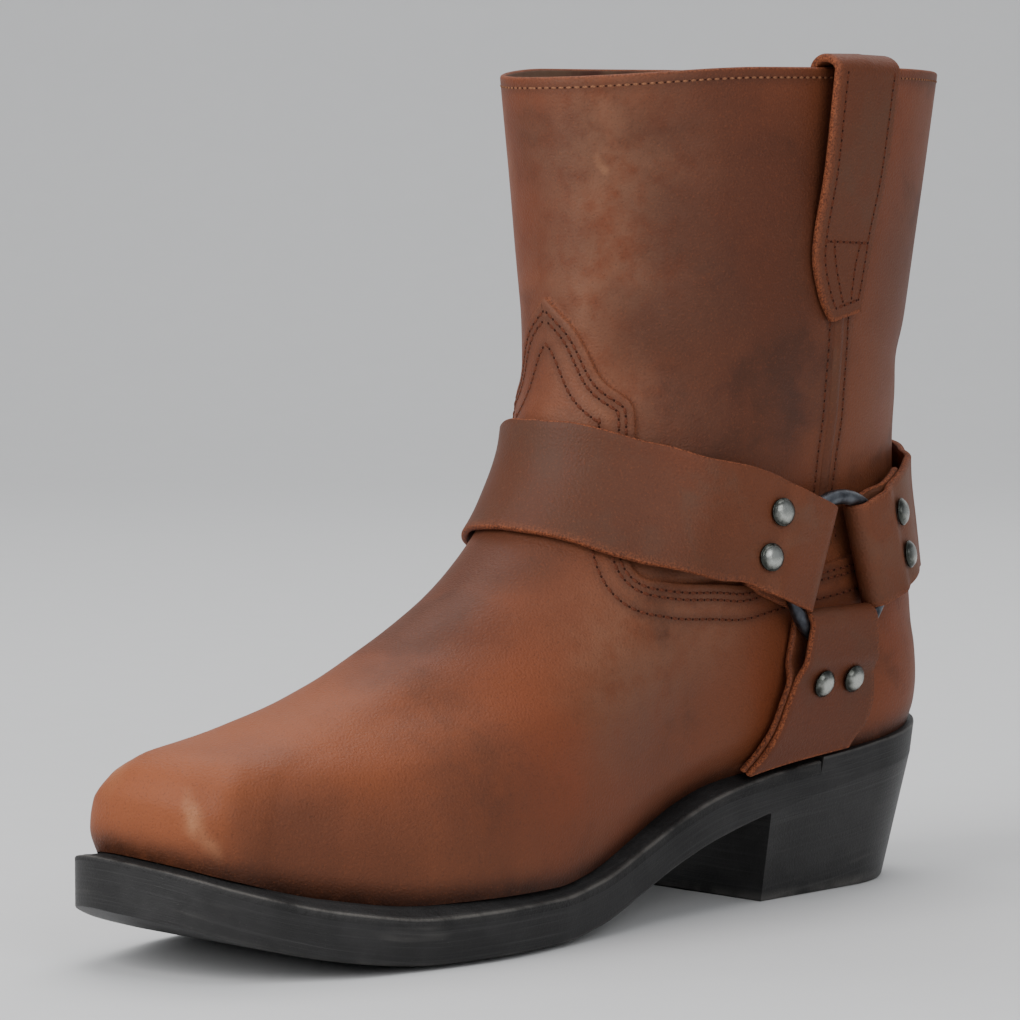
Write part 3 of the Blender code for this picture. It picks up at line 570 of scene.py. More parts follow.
class Strap(Route):
    """A strap's route with its end folded round the ring: two layers joined by rivets past the fold."""

    def __init__(self, table, side, toward, fit):
        super().__init__(table, side, toward, fit.floor)
        self.fit = fit
        self.centre, self.outward = ring_seat(side)
        ends = FORM.points(*self.place(np.array([0.0, fit.lead])))
        chord = self.in_plane(ends[1] - ends[0])
        down = self.in_plane(np.array([0.0, 0.0, -1.0]))
        self.lead = unit(chord + down * fit.plumb)
        cross = np.cross(self.outward, unit(chord + (down - chord) * min(fit.plumb, 1.0)))
        self.cross = cross * np.sign(cross @ self.toward)
        skew = abs(self.lead @ self.cross)
        wire = math.sqrt(RING_RADIUS ** 2 - fit.half_ring ** 2 * (1 - skew ** 2))
        self.fold = wire - fit.half_ring * skew - FOLD_SLACK

    def in_plane(self, direction):
        return unit(direction - self.outward * (direction @ self.outward))

    def climb(self, lengths):
        return 1 - ease(lengths / self.length()) * (self.floor > 0)

    def half(self, lengths):
        half = self.fit.half_ring + (self.fit.half_end - self.fit.half_ring) * ease(lengths / self.length())
        return half * sum((size * np.sin(lengths * rate + start) for size, rate, start in CUT_WAVES), 1.0)

    def sheet(self, lengths, layer, across=None):
        """Middle of the leather at lengths from the ring's centre; layer is 1 outside and -1 inside."""
        lengths = np.asarray(lengths, float)
        loop = WIRE_RADIUS + GAP + STRAP_THICK / 2
        pinch = ease((lengths - self.fit.tunnel) / (self.fit.rivet - self.fit.tunnel))
        apart = loop + (STRAP_THICK / 2 + GAP / 2 - loop) * pinch
        rest = VAMP_STEP + self.fit.seat + STRAP_THICK + GAP / 2
        single = ease((lengths - self.fit.lie_down) / (self.fit.single_from - self.fit.lie_down))
        heights = rest + layer * apart - (STRAP_THICK + GAP) * single * (layer > 0) * (self.floor == 0)
        if across is None:
            across = self.half(lengths)[:, None] * np.linspace(-1, 1, STRAP_COLUMNS)
        lying = self.over(lengths, across, heights[:, None])
        taut = self.flat(lengths, across, layer * apart)
        blend = ease((lengths - self.fit.tunnel) / (self.fit.lie_down - self.fit.tunnel))[:, None, None]
        return taut + (lying - taut) * blend

    def flat(self, lengths, across, heights):
        """Points in the ring's own plane."""
        middle = self.centre + lengths[:, None] * self.lead + np.asarray(heights)[:, None] * self.outward
        return middle[:, None, :] + across[:, :, None] * self.cross

    def loop(self):
        """The fold round the ring's wire, from the inner layer to the outer one."""
        bend = np.linspace(-math.pi / 2, math.pi / 2, FOLD_ROWS)[1:-1]
        radius = WIRE_RADIUS + GAP + STRAP_THICK / 2
        half = self.half(np.array([self.fold]))[0]
        across = np.full((len(bend), 1), half) * np.linspace(-1, 1, STRAP_COLUMNS)
        return self.flat(self.fold - radius * np.cos(bend), across, radius * np.sin(bend))

    def end(self, inner_end, rows):
        """The folded end: the inner layer, the loop and the outer layer up to where it lies down."""
        inner = np.linspace(inner_end, self.fold, rows)
        outer = np.linspace(self.fold, self.fit.lie_down, rows)
        return np.concatenate([self.sheet(inner, -1), self.loop(), self.sheet(outer, 1)])

    def rivet_seats(self):
        """Where the two rivets stand on the outer layer, with the directions that they face."""
        reach = np.array([-1.0, 0.0, 1.0]) * RIVET_RADIUS
        seats = []
        for sign in (1, -1):
            across = np.tile(sign * RIVET_APART + reach, (len(reach), 1))
            patch = self.sheet(self.fit.rivet + reach, 1, across)
            facing = np.cross(patch[2, 1] - patch[0, 1], patch[1, 2] - patch[1, 0])
            facing *= np.sign(facing @ self.outward) / np.linalg.norm(facing)
            rise = np.max((patch - patch[1, 1]) @ facing)
            seats.append((patch[1, 1] + facing * (STRAP_THICK / 2 + rise + RIVET_SEAT), facing))
        return seats


STRAPS = {
    "instep_strap": (FRONT_ROUTE, (0, 0, 1), INSTEP_FIT),
    "heel_strap": (BACK_ROUTE, (0, 0, 1), HEEL_FIT),
    "anchor_strap": (ANCHOR_ROUTE, (1, 0, 0), ANCHOR_FIT),
}


def make_strap(name, side):
    route, toward, fit = STRAPS[name]
    return Strap(route, side, toward, fit)


class Wire:
    """A number on its way through a material; arithmetic on it adds Math nodes."""

    def __init__(self, paint, socket):
        self.paint = paint
        self.socket = socket

    def math(self, operation, first, second):
        return self.paint.node("ShaderNodeMath", {"operation": operation}, {0: first, 1: second})

    def __add__(self, other):
        return self.math("ADD", self, other)

    __radd__ = __add__

    def __mul__(self, other):
        return self.math("MULTIPLY", self, other)

    __rmul__ = __mul__

    def __sub__(self, other):
        return self.math("SUBTRACT", self, other)

    def most(self, other):
        return self.math("MAXIMUM", self, other)

    def span(self, low, high):
        """0 at the low value and 1 at the high one, with soft ends."""
        return self.paint.node("ShaderNodeMapRange", {"interpolation_type": "SMOOTHSTEP"},
                               {"Value": self, "From Min": low, "From Max": high})


def socket_name(key):
    """The shader's own name of an input."""
    return key.replace("_", " ").title().replace("Ior", "IOR")


class Paint:
    """A material whose nodes are written from Python."""

    def __init__(self, name, **fixed):
        self.skin = bpy.data.materials.new(name)
        self.skin.use_nodes = True
        self.tree = self.skin.node_tree
        self.shader = self.tree.nodes["Principled BSDF"]
        for socket, value in fixed.items():
            self.shader.inputs[socket_name(socket)].default_value = value
        self.place = self.node("ShaderNodeTexCoord", out="Object")
        self.base = None

    def feed(self, socket, value):
        if isinstance(value, Wire):
            self.tree.links.new(value.socket, socket)
        elif socket.type == "RGBA":
            socket.default_value = (*value, 1.0)
        else:
            socket.default_value = value

    def node(self, kind, settings=None, inputs=None, out=0):
        """A node of any kind: its settings are set first, then its sockets get values or links."""
        node = self.tree.nodes.new(kind)
        for key, value in (settings or {}).items():
            setattr(node, key, value)
        for key, value in (inputs or {}).items():
            self.feed(node.inputs[key], value)
        return Wire(self, node.outputs[out])

    def noise(self, scale, detail=3.0, roughness=0.5, where=None, out=0):
        inputs = {"Vector": where or self.place, "Scale": scale, "Detail": detail, "Roughness": roughness}
        return self.node("ShaderNodeTexNoise", {}, inputs, out)

    def vector(self, operation, inputs, out=0):
        return self.node("ShaderNodeVectorMath", {"operation": operation}, inputs, out)

    def stretched(self, x, y, z):
        """Object coordinates with a scale of their own each way."""
        return self.node("ShaderNodeMapping", {"vector_type": "POINT"},
                         {"Vector": self.place, "Scale": (x, y, z)})

    def warped(self, scale, amount):
        """Object coordinates that wander, for patches with ragged outlines."""
        wander = self.noise(scale, 3.0, 0.55, out="Color")
        centred = self.vector("SUBTRACT", {0: wander, 1: (0.5, 0.5, 0.5)})
        scaled = self.vector("SCALE", {0: centred, "Scale": amount})
        return self.vector("ADD", {0: self.place, 1: scaled})

    def brushed(self, level, drop):
        """Coordinates for streaks along the sole, with scales along the floor and down the edge."""
        inputs = {"X": self.axis("X") * level, "Y": self.axis("Y") * level, "Z": self.mark("drop") * drop}
        return self.node("ShaderNodeCombineXYZ", {}, inputs)

    def patches(self, where, table):
        """Soft patches about places of the upper."""
        total = None
        for patch in table:
            centre = tuple(FORM.points(patch.turn, patch.level).tolist())
            distance = self.vector("DISTANCE", {0: where, 1: centre}, "Value")
            amount = distance.span(patch.radius * 1.5, patch.radius * 0.25) * patch.share
            total = amount if total is None else total.most(amount)
        return total

    def mark(self, name):
        """A number that the piece's own mesh carries."""
        return self.node("ShaderNodeAttribute", {"attribute_name": name}, out="Fac")

    def axis(self, name):
        return self.node("ShaderNodeSeparateXYZ", {}, {0: self.place}, name)

    def mix(self, share, first, second):
        return self.node("ShaderNodeMix", {"data_type": "RGBA"}, {0: share, 6: first, 7: second}, 2)

    def lay(self, share, colour):
        """Lays a colour over the base that is there."""
        self.base = self.mix(share, self.base, colour)

    def bump(self, height, strength, distance):
        return self.node("ShaderNodeBump", {}, {"Height": height, "Strength": strength, "Distance": distance})

    def done(self, **links):
        for socket, value in links.items():
            self.feed(self.shader.inputs[socket_name(socket)], value)
        return self.skin


def leather(name, colours, upper=False, dusk=0.0):
    """Oiled brown leather: clouded, smoky, rusty and grey waxy patches, painted sheen, shade and highlights,
    a fine grain and raw edges.
    """
    paint = Paint(name, specular_ior_level=0.22)
    where = paint.warped(34, 0.030)
    broad = paint.noise(13, 3, 0.55, where)
    cloud = paint.noise(42, 4, 0.6, where)
    mottle = paint.noise(150, 5, 0.62)
    dust = paint.noise(1700, 2, 0.5)
    paint.base = paint.mix(broad.span(0.38, 0.64), colours.leather, colours.leather_red)
    paint.lay(cloud.span(0.50, 0.74) * 0.55, colours.leather_dark_and_shade)
    if upper:
        toe = paint.axis("X").span(0.100, 0.235) * paint.axis("Z").span(0.135, 0.060)
        paint.lay(toe * (0.55 + cloud * 0.6), colours.leather_tan)
        paint.lay(paint.patches(where, RUSTY) * mottle.span(0.25, 0.60) * 0.3, colours.leather_rust)
        # Grey waxy patches and painted sheen
        paint.lay(paint.patches(where, WAX_AND_SHEEN_PATCHES) * mottle.span(0.20, 0.65), colours.leather_grey_and_sheen)
        smoke = 0.35 + mottle.span(0.34, 0.62) * 0.35
        paint.lay(paint.patches(where, SMOKY) * smoke, colours.leather_smoke)
        # Painted shade laid over the broad patches of the table above
        paint.lay(paint.patches(where, PAINTED_SHADE_PATCHES) * (0.62 + cloud * 0.25), colours.painted_shade_leather)
        # Pale rubbed spots and painted highlights on the toe's corners
        paint.lay(paint.patches(where, RUBS_AND_HIGHLIGHTS) * mottle.span(0.15, 0.55), colours.leather_pale_rubs_and_highlights)
        # Dirt and painted shade: a dark band just above the welt
        paint.lay(paint.mark("dirt_and_shade") * (0.45 + mottle * 0.6), colours.soil_and_shade)
        # Painted shade along the rows of stitches, where the thread sinks into the leather
        paint.lay(paint.mark("seam") * 0.45, colours.leather_dark_and_shade)
    else:
        paint.lay(cloud.span(0.46, 0.70) * 0.50, colours.leather_grey_and_sheen)
        front = paint.axis("X").span(0.040, 0.105)
        low = paint.axis("Z").span(0.105, 0.070)
        paint.lay(front * 0.45 + low * 0.35 + cloud * 0.30 + dusk, colours.leather_dark_and_shade)
    scuff = paint.noise(1.0, 4, 0.6, paint.stretched(260, 260, 1500)).span(0.64, 0.74)
    paint.lay(scuff * 0.16, colours.leather_grey_and_sheen)
    paint.lay(dust.span(0.55, 0.75) * 0.20, colours.leather_tan)
    paint.lay(dust.span(0.45, 0.26) * 0.32, colours.leather_dark_and_shade)
    raw = paint.mark("raw")
    fibre = paint.noise(1700, 3, 0.7)
    raw_colour = paint.mix(fibre.span(0.35, 0.65), colours.raw_dark, colours.raw_edge)
    paint.lay(raw * mottle.span(0.22, 0.48), raw_colour)
    cell = paint.node("ShaderNodeTexVoronoi", {"feature": "SMOOTH_F1"},
                      {"Vector": paint.place, "Scale": 1500.0})
    grain = cell * 0.6 + dust * 0.5 + mottle * 0.12 + fibre * raw * 2.0
    rough = 0.40 + cloud * 0.18 + dust * 0.08 + raw * 0.25
    return paint.done(base_color=paint.base, roughness=rough, normal=paint.bump(grain, 0.42, 0.0005))


def lining_leather(name, colours):
    paint = Paint(name)
    cloud = paint.noise(60, 4, 0.6)
    dust = paint.noise(1400, 2, 0.6)
    base = paint.mix(cloud.span(0.35, 0.70), colours.lining, colours.raw_dark)
    return paint.done(base_color=base, roughness=0.66 + dust * 0.2, normal=paint.bump(dust, 0.25, 0.0004))


def insole_leather(name, colours):
    paint = Paint(name)
    cloud = paint.noise(45, 4, 0.6)
    dust = paint.noise(900, 3, 0.6)
    base = paint.mix(cloud.span(0.35, 0.70), colours.insole, colours.lining)
    return paint.done(base_color=base, roughness=0.62 + dust * 0.25, normal=paint.bump(dust, 0.2, 0.0004))


def sole_rubber(name, colours, gloss, coarse=0.0):
    """Blackened sole edge: brushed along its length, dusty, with a paler top line of wear and painted
    highlight.
    """
    paint = Paint(name, specular_ior_level=0.38)
    streak = paint.noise(1.0, 4, 0.65, paint.brushed(16, 1300))
    band = paint.noise(1.0, 3, 0.6, paint.brushed(18, 160))
    cloud = paint.noise(55, 4, 0.6)
    dust = paint.noise(1300, 2, 0.6)
    paint.base = paint.mix(cloud.span(0.35, 0.68) * 0.6, colours.sole, colours.sole_grey)
    paint.lay(streak.span(0.50, 0.70) * 0.75, colours.sole_grey)
    paint.lay(band.span(0.60, 0.78) * 0.22, colours.sole_wear_and_highlight)
    # Wear and painted highlight along the sole's rounded edges
    paint.lay(paint.mark("wear_and_highlight") * cloud.span(0.30, 0.62) * 0.8, colours.sole_wear_and_highlight)
    paint.lay(dust.span(0.66, 0.80) * 0.20, colours.sole_wear_and_highlight)
    rough = gloss + cloud * 0.16 + dust * 0.10
    lumps = paint.noise(620, 3, 0.65)
    height = streak * 0.9 + band * 0.8 + dust * 0.5 + lumps * coarse
    return paint.done(base_color=paint.base, roughness=rough, normal=paint.bump(height, 0.38, 0.0005))


def thread(name, colour):
    paint = Paint(name, specular_ior_level=0.1)
    twist = paint.noise(2600, 2, 0.5)
    base = paint.mix(twist.span(0.3, 0.7), [0.55 * value for value in colour], colour)
    return paint.done(base_color=base, roughness=0.6 + twist * 0.2, normal=paint.bump(twist, 0.5, 0.0002))


def ring_steel(name, colours):
    paint = Paint(name, metallic=1.0)
    cloud = paint.noise(190, 4, 0.6)
    fine = paint.noise(1600, 2, 0.5)
    base = paint.mix(cloud.span(0.40, 0.70), colours.ring, colours.ring_worn)
    return paint.done(base_color=base, roughness=0.30 + cloud * 0.22, normal=paint.bump(fine, 0.15, 0.0003))


def rivet_nickel(name, colours):
    """Antique nickel: bright on the crown, dark at the rim."""
    paint = Paint(name, metallic=1.0)
    cloud = paint.noise(420, 4, 0.6)
    rim = paint.mark("rim")
    base = paint.mix((rim + (cloud - 0.5) * 0.7).span(0.35, 0.95), colours.rivet, colours.rivet_dark)
    return paint.done(base_color=base, roughness=0.18 + cloud * 0.20, normal=paint.bump(cloud, 0.20, 0.0004))


def length(name, description, default):
    return bpy.props.FloatProperty(name=name, description=description, default=default, precision=5,
                                   min=0.0, unit="LENGTH", subtype="DISTANCE")


def tint(name, description, *screen):
    return bpy.props.FloatVectorProperty(name=name, description=description, default=shade(*screen), size=3,
                                         min=0.0, max=1.0, subtype="COLOR")


class BootSizes(bpy.types.PropertyGroup):
    """Sizes that a user would change."""
    vamp_edge: length("Vamp edge", "Height of the vamp's cut edge over the shaft", 0.0014)
    stitch_pitch: length("Stitch pitch", "From one stitch to the next", 0.0030)
    stitch_length: length("Stitch length", "Length of the thread that shows", 0.0023)
    stitch_width: length("Stitch width", "Width of the thread that shows", 0.0011)
    row_first: length("First row", "From the vamp's edge to the first row of stitches", 0.0026)
    row_second: length("Second row", "From the vamp's edge to the second row of stitches", 0.0046)
    row_third: length("Third row", "From the vamp's edge to the single row of stitches", 0.0100)
    seam_half: length("Seam rows", "From the side seam to each of its rows of stitches", 0.0042)
    collar_row: length("Collar row", "From the collar's rim down to its row of stitches", 0.0024)


class BootColours(bpy.types.PropertyGroup):
    """Colours of the boot and its studio."""
    leather: tint("Leather", "Middle brown of the leather", 110, 62, 40)
    leather_red: tint("Red leather", "Warmer brown of the leather", 116, 60, 36)
    # Dark tone of the leather, also used for the painted shade along the stitch rows
    leather_dark_and_shade: tint("Dark leather", "Deep pores and seams", 63, 37, 26)
    leather_smoke: tint("Smoky leather", "Darker, greyer patches", 72, 50, 42)
    # Colour of the painted shade patches
    painted_shade_leather: tint("Shaded leather", "Broad darker places", 66, 38, 27)
    # Colour of the rubbed spots and of the painted highlights on the toe
    leather_pale_rubs_and_highlights: tint("Pale leather", "Rubbed spots", 178, 128, 94)
    # Grey of the waxy patches and of the painted sheen, also used for strap clouds and scuffs
    leather_grey_and_sheen: tint("Greyed leather", "Waxy, paler patches", 128, 89, 68)
    leather_tan: tint("Tan leather", "Toe and raised places", 142, 79, 47)
    leather_rust: tint("Rusty leather", "Orange patches", 134, 68, 43)
    raw_edge: tint("Raw edge", "Cut edges of the straps", 148, 84, 54)
    raw_dark: tint("Dark raw edge", "Deep fibres of the cut edges", 78, 40, 26)
    # Colour of the dirt and painted shade just above the welt
    soil_and_shade: tint("Soil", "Dark line above the welt", 24, 14, 10)
    lining: tint("Lining", "Inside of the shaft", 104, 76, 56)
    insole: tint("Insole", "Foot bed", 176, 140, 104)
    thread: tint("Thread", "Dark thread", 106, 59, 42)
    collar_thread: tint("Collar thread", "Pale thread under the rim", 150, 102, 74)
    # Painted shade of the needle holes
    hole_shade: tint("Needle holes", "Holes between the stitches", 58, 29, 20)
    sole: tint("Sole", "Black of the sole's edge", 17, 16, 16)
    sole_grey: tint("Grey sole", "Brushed streaks", 43, 42, 42)
    # Pale of the brushed streaks, the dust, and the wear and painted highlight on the sole's edges
    sole_wear_and_highlight: tint("Worn sole", "Rubbed edges", 98, 95, 91)
    ring: tint("Ring", "Dark steel", 66, 68, 74)
    ring_worn: tint("Worn ring", "Rubbed steel", 112, 116, 122)
    rivet: tint("Rivet", "Bright crown", 176, 178, 172)
    rivet_dark: tint("Dark rivet", "Patina at the rim", 60, 62, 58)
    floor: tint("Floor", "Studio floor", 212, 212, 212)


def sizes():
    return bpy.context.scene.boot_sizes


def colours():
    return bpy.context.scene.boot_colours


def skin(name, make, *values, **settings):
    """A material by name, made the first time that it is asked for."""
    return bpy.data.materials.get(name) or make(name, *values, **settings)


def upper_skin():
    return skin("upper_leather", leather, colours(), upper=True)


def strap_skin():
    return skin("strap_leather", leather, colours(), dusk=0.03)


def trim_skin():
    return skin("trim_leather", leather, colours(), dusk=0.28)


def net(points, marks=None, skins=None):
    """Mesh of a grid of points, in rows and columns; places that coincide are joined."""
    rows, columns = points.shape[:2]
    bm = bmesh.new()
    bmesh.ops.create_grid(bm, x_segments=columns - 1, y_segments=rows - 1, size=1)
    for vert, point in zip(bm.verts, points.reshape(-1, 3).tolist()):
        vert.co = point
    for key, values in (marks or {}).items():
        layer = bm.verts.layers.float.new(key)
        for vert, value in zip(bm.verts, np.broadcast_to(values, (rows, columns)).ravel().tolist()):
            vert[layer] = value
    if skins is not None:
        for i, face in enumerate(bm.faces):
            face.material_index = int(skins[i // (columns - 1)])
    bmesh.ops.remove_doubles(bm, verts=bm.verts, dist=JOIN)
    bmesh.ops.recalc_face_normals(bm, faces=bm.faces)
    return bm


def add_piece(name, bm, skins, slot, *nodes):
    """Puts a finished mesh into the scene in the place of the part's own nodes."""
    mesh = bpy.data.meshes.new(name)
    bm.to_mesh(mesh)
    bm.free()
    mesh.shade_smooth()
    mesh.set_sharp_from_angle(angle=SHARP)
    for one in skins:
        mesh.materials.append(one)
    piece = bpy.data.objects.new(name, mesh)
    bpy.context.scene.collection.objects.link(piece)
    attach(piece, BODY)
    if nodes:
        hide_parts(*nodes)
    return piece


def vamp_edge(side, places):
    """The vamp's edge on one side: turns, levels and the direction along the leather towards the sole."""
    turns = side * EDGE.at("turn", places)
    levels = EDGE.at("level", places)
    ahead = np.gradient(FORM.points(turns, levels), axis=0)
    return turns, levels, side * unit(np.cross(FORM.normals(turns, levels), ahead))


def edge_row(side, distance, count=700):
    """Points and normals of a row that keeps its distance from the vamp's edge, on the vamp."""
    turns, levels, inward = vamp_edge(side, np.linspace(0, 1, count))
    edge = FORM.points(np.concatenate([turns, -turns]), np.tile(levels, 2))
    turns, levels = FORM.shift(turns, levels, inward, distance)
    points = FORM.points(turns, levels)
    reach = np.linalg.norm(points[:, None] - edge[None], axis=2).min(axis=1)
    keep = (reach > 0.96 * distance) & (side * turns <= 1) & (side * turns >= 0)
    points, turns, levels = points[keep], turns[keep], levels[keep]
    normals = FORM.normals(turns, levels)
    sink = crease_depth(points, normals)
    return points + normals * (sizes().vamp_edge - sink)[:, None], normals


def stitch_rows():
    """Rows of stitches on the upper: vamp, side seams and collar."""
    vamp, seam = [], []
    for side, _ in SIDES:
        for distance in (sizes().row_first, sizes().row_second, sizes().row_third):
            vamp.append(edge_row(side, distance))
        route = Route(SEAM_ROUTE, side, (1, 0, 0))
        run = np.linspace(0, route.length(), 400)
        for sign in (1, -1):
            turn, level = route.spot(run, np.full((len(run), 1), sign * sizes().seam_half))
            turn, level = turn[:, 0], level[:, 0]
            normals = FORM.normals(turn, level)
            points = FORM.points(turn, level)
            seam.append((points - normals * crease_depth(points, normals)[:, None], normals))
    turn = np.linspace(-1, 1, 1200)
    level = np.full(len(turn), 1 - sizes().collar_row / COLLAR.columns["height"][0])
    points, normals = FORM.points(turn, level), FORM.normals(turn, level)
    return vamp, seam, [(points - normals * crease_depth(points, normals)[:, None], normals)]


STITCH_HEIGHT_SHARE = 0.8
STITCH_SINK = 0.00012
HOLE_LENGTH = 0.0009
HOLE_WIDTH = 0.0008
HOLE_HEIGHT = 0.0004
HOLE_SINK = 0.00004
COLLAR_PITCH_SHARE = 0.80
COLLAR_STITCH_SHARE = 0.72


def sew(bm, points, normals, pitch, size, sink, shift=0.5):
    """Adds small rounded stitches along a row; size is their length, width and height."""
    run = path_length(points)
    at = np.arange(shift * pitch, run[-1], pitch)

    def read(values, step=0.0):
        return np.column_stack([np.interp(at + step, run, values[:, k]) for k in range(3)])

    line = bmesh.new()
    aheads = read(points, STEP / 3) - read(points, -STEP / 3)
    for centre, ahead, up in zip(read(points), aheads, read(normals)):
        ahead = Vector(ahead).normalized()
        aside = Vector(up).cross(ahead).normalized()
        up = ahead.cross(aside)
        turned = Matrix((aside * size[1] / 2, up * size[2] / 2, ahead * size[0] / 2)).transposed().to_4x4()
        bmesh.ops.create_uvsphere(line, u_segments=6, v_segments=4, radius=1,
                                  matrix=Matrix.Translation(Vector(centre) - up * sink) @ turned)
    add_copy(bm, line, Matrix.Identity(4))
    line.free()


def sew_rows(name, rows, slot, thread_skin, pitch, scale=1.0):
    """Stitches and their needle holes, dark with painted shade, along several rows, as two joined meshes."""
    stitches, pits = bmesh.new(), bmesh.new()
    wide = sizes().stitch_width * scale
    stitch = (sizes().stitch_length * scale, wide, wide * STITCH_HEIGHT_SHARE)
    hole_shade = (HOLE_LENGTH * scale, HOLE_WIDTH * scale, HOLE_HEIGHT)
    for points, normals in rows:
        sew(stitches, points, normals, pitch, stitch, STITCH_SINK)
        # Dark needle holes: painted shade in the pits at the ends of the stitches
        sew(pits, points, normals, pitch, hole_shade, HOLE_SINK, shift=0.0)
    add_piece(name, stitches, [thread_skin], slot)
    add_piece(name + "_holes", pits, [skin("needle_holes", thread, colours().hole_shade)], slot)


def dark_thread():
    return skin("dark_thread", thread, colours().thread)


UPPER_HALF_COLUMNS = 172
FOOT_ROWS = 104
FOOT_CROWDING = 1.25
SHAFT_ROWS = 60
INNER_ROWS = 44
COLLAR_ROWS = 8
COLLAR_ROLL = 0.0010
COLLAR_RAW = 0.45
# Reach of the painted shade along the stitch rows
SEAM_SHADE_REACH = 0.0016
# Reach of the dirt and painted shade above the welt
DIRT_AND_SHADE_REACH = 0.0050

# Rows over the vamp's cut edge: distance onto the vamp, share of its lift, more lift and how raw it is
VAMP_CUT = (
    (0.0016, 1.00, 0.0, 0.0),
    (0.0005, 0.97, 0.0, 0.10),
    (0.0001, 0.72, 0.0, 0.40),
    (0.0, 0.0, 0.0001, 0.55),
    (-0.0004, 0.0, -0.0002, 0.30),
    (-0.0016, 0.0, 0.0, 0.0),
)


def upper_rows():
    """Rows of the upper's skin: turns and levels before lifting, lift, rise, raw and which leather shows."""
    half = np.linspace(0, 1, UPPER_HALF_COLUMNS + 1)
    place = np.concatenate([half, half[-2::-1]])
    around = np.where(np.arange(len(place)) > UPPER_HALF_COLUMNS, -1.0, 1.0) * place
    both = zip(vamp_edge(1, half), vamp_edge(-1, half))
    turns, levels, inward = [np.concatenate([outer, inner[-2::-1]]) for outer, inner in both]
    lift = sizes().vamp_edge
    edge = [FORM.shift(turns, levels, inward, cut[0]) for cut in VAMP_CUT]
    near_turn, near_level = edge[0]
    far_turn, far_level = edge[-1]
    rows = []
    for k in range(FOOT_ROWS):
        share = (k / FOOT_ROWS) ** FOOT_CROWDING
        rows.append((around + (near_turn - around) * share, near_level * share, lift, 0.0, 0.0, 0))
    for (turn, level), (_, share, more, raw) in zip(edge, VAMP_CUT):
        rows.append((turn, level, lift * share + more, 0.0, raw, 0))
    for k in range(1, SHAFT_ROWS + 1):
        share = k / SHAFT_ROWS
        turn, level = far_turn + (around - far_turn) * share, far_level + (1 - far_level) * share
        rows.append((turn, level, 0.0, 0.0, 0.0, 0))
    top = np.ones(len(place))
    for bend in np.linspace(0, math.pi, COLLAR_ROWS)[1:-1]:
        inset = WALL * (1 - math.cos(bend)) / 2
        rows.append((around, top, -inset, COLLAR_ROLL * math.sin(bend), COLLAR_RAW, 0))
    for k in range(INNER_ROWS + 1):
        rows.append((around, top * (1 - k / INNER_ROWS), -WALL, 0.0, 0.0, 1))
    rows.append(rows[0])
    return rows


def build_upper():
    """The upper: foot leather with its cut edge, shaft, rolled collar and lining, as one closed skin."""
    turns, levels, lift, rise, raw, inside = (np.array(column) for column in zip(*upper_rows()))
    normals = FORM.normals(turns, levels)
    base = FORM.points(turns, levels)
    outside = (inside == 0)[:, None]
    sink = crease_depth(base, normals)
    points = base + normals * (lift[:, None] - sink)[..., None]
    points[..., 2] += rise[:, None]
    threads = np.concatenate([row for group in stitch_rows() for row, _ in group])[::2]
    tree = KDTree(len(threads))
    for i, place in enumerate(threads.tolist()):
        tree.insert(place, i)
    tree.balance()
    near = np.array([tree.find(place)[2] for place in points.reshape(-1, 3).tolist()]).reshape(turns.shape)
    above = points[..., 2] - feather(points[..., 0] + HEEL_REST)
    marks = {
        "raw": raw[:, None],
        # seam: painted shade along the rows of stitches
        "seam": np.exp(-(near / SEAM_SHADE_REACH) ** 2) * outside,
        # dirt and painted shade, darker towards the welt
        "dirt_and_shade": np.exp(-(np.clip(above, 0, None) / DIRT_AND_SHADE_REACH) ** 2) * outside,
    }
    bm = net(points, marks, inside[1:])
    linings = skin("lining_leather", lining_leather, colours())
    add_piece("upper_leather", bm, [upper_skin(), linings], "leather_brown", "upper")


def strip(middle, thick, bulge=0.55):
    """Closed strip of leather about a sheet of middle points, with rounded raw edges and closed ends."""
    face = unit(np.cross(np.gradient(middle, axis=0), np.gradient(middle, axis=1))) * thick / 2
    aside = unit(np.gradient(middle, axis=1)) * thick / 2 * bulge
    bend = np.linspace(0, math.pi, EDGE_ROUND + 2)[1:-1]
    right = [middle[:, -1] + aside[:, -1] * math.sin(a) + face[:, -1] * math.cos(a) for a in bend]
    left = [middle[:, 0] - aside[:, 0] * math.sin(a) - face[:, 0] * math.cos(a) for a in bend]
    top, low = middle + face, (middle - face)[:, ::-1]
    points = np.concatenate([top, np.stack(right, 1), low, np.stack(left, 1), top[:, :1]], axis=1)
    raw = np.zeros(points.shape[1])
    wide = middle.shape[1]
    raw[wide:wide + EDGE_ROUND] = raw[2 * wide + EDGE_ROUND:-1] = 1.0
    raw[[0, wide - 1, wide, 2 * wide + EDGE_ROUND - 1, -1]] = RAW_RIM
    flat = np.concatenate([middle, np.repeat(middle[:, -1:], EDGE_ROUND, 1), middle[:, ::-1],
                           np.repeat(middle[:, :1], EDGE_ROUND, 1), middle[:, :1]], axis=1)
    points = np.concatenate([flat[:1], points, flat[-1:]])
    raw = np.tile(raw, (len(points), 1))
    raw[:2] = raw[-2:] = 1.0
    return net(points, {"raw": raw})


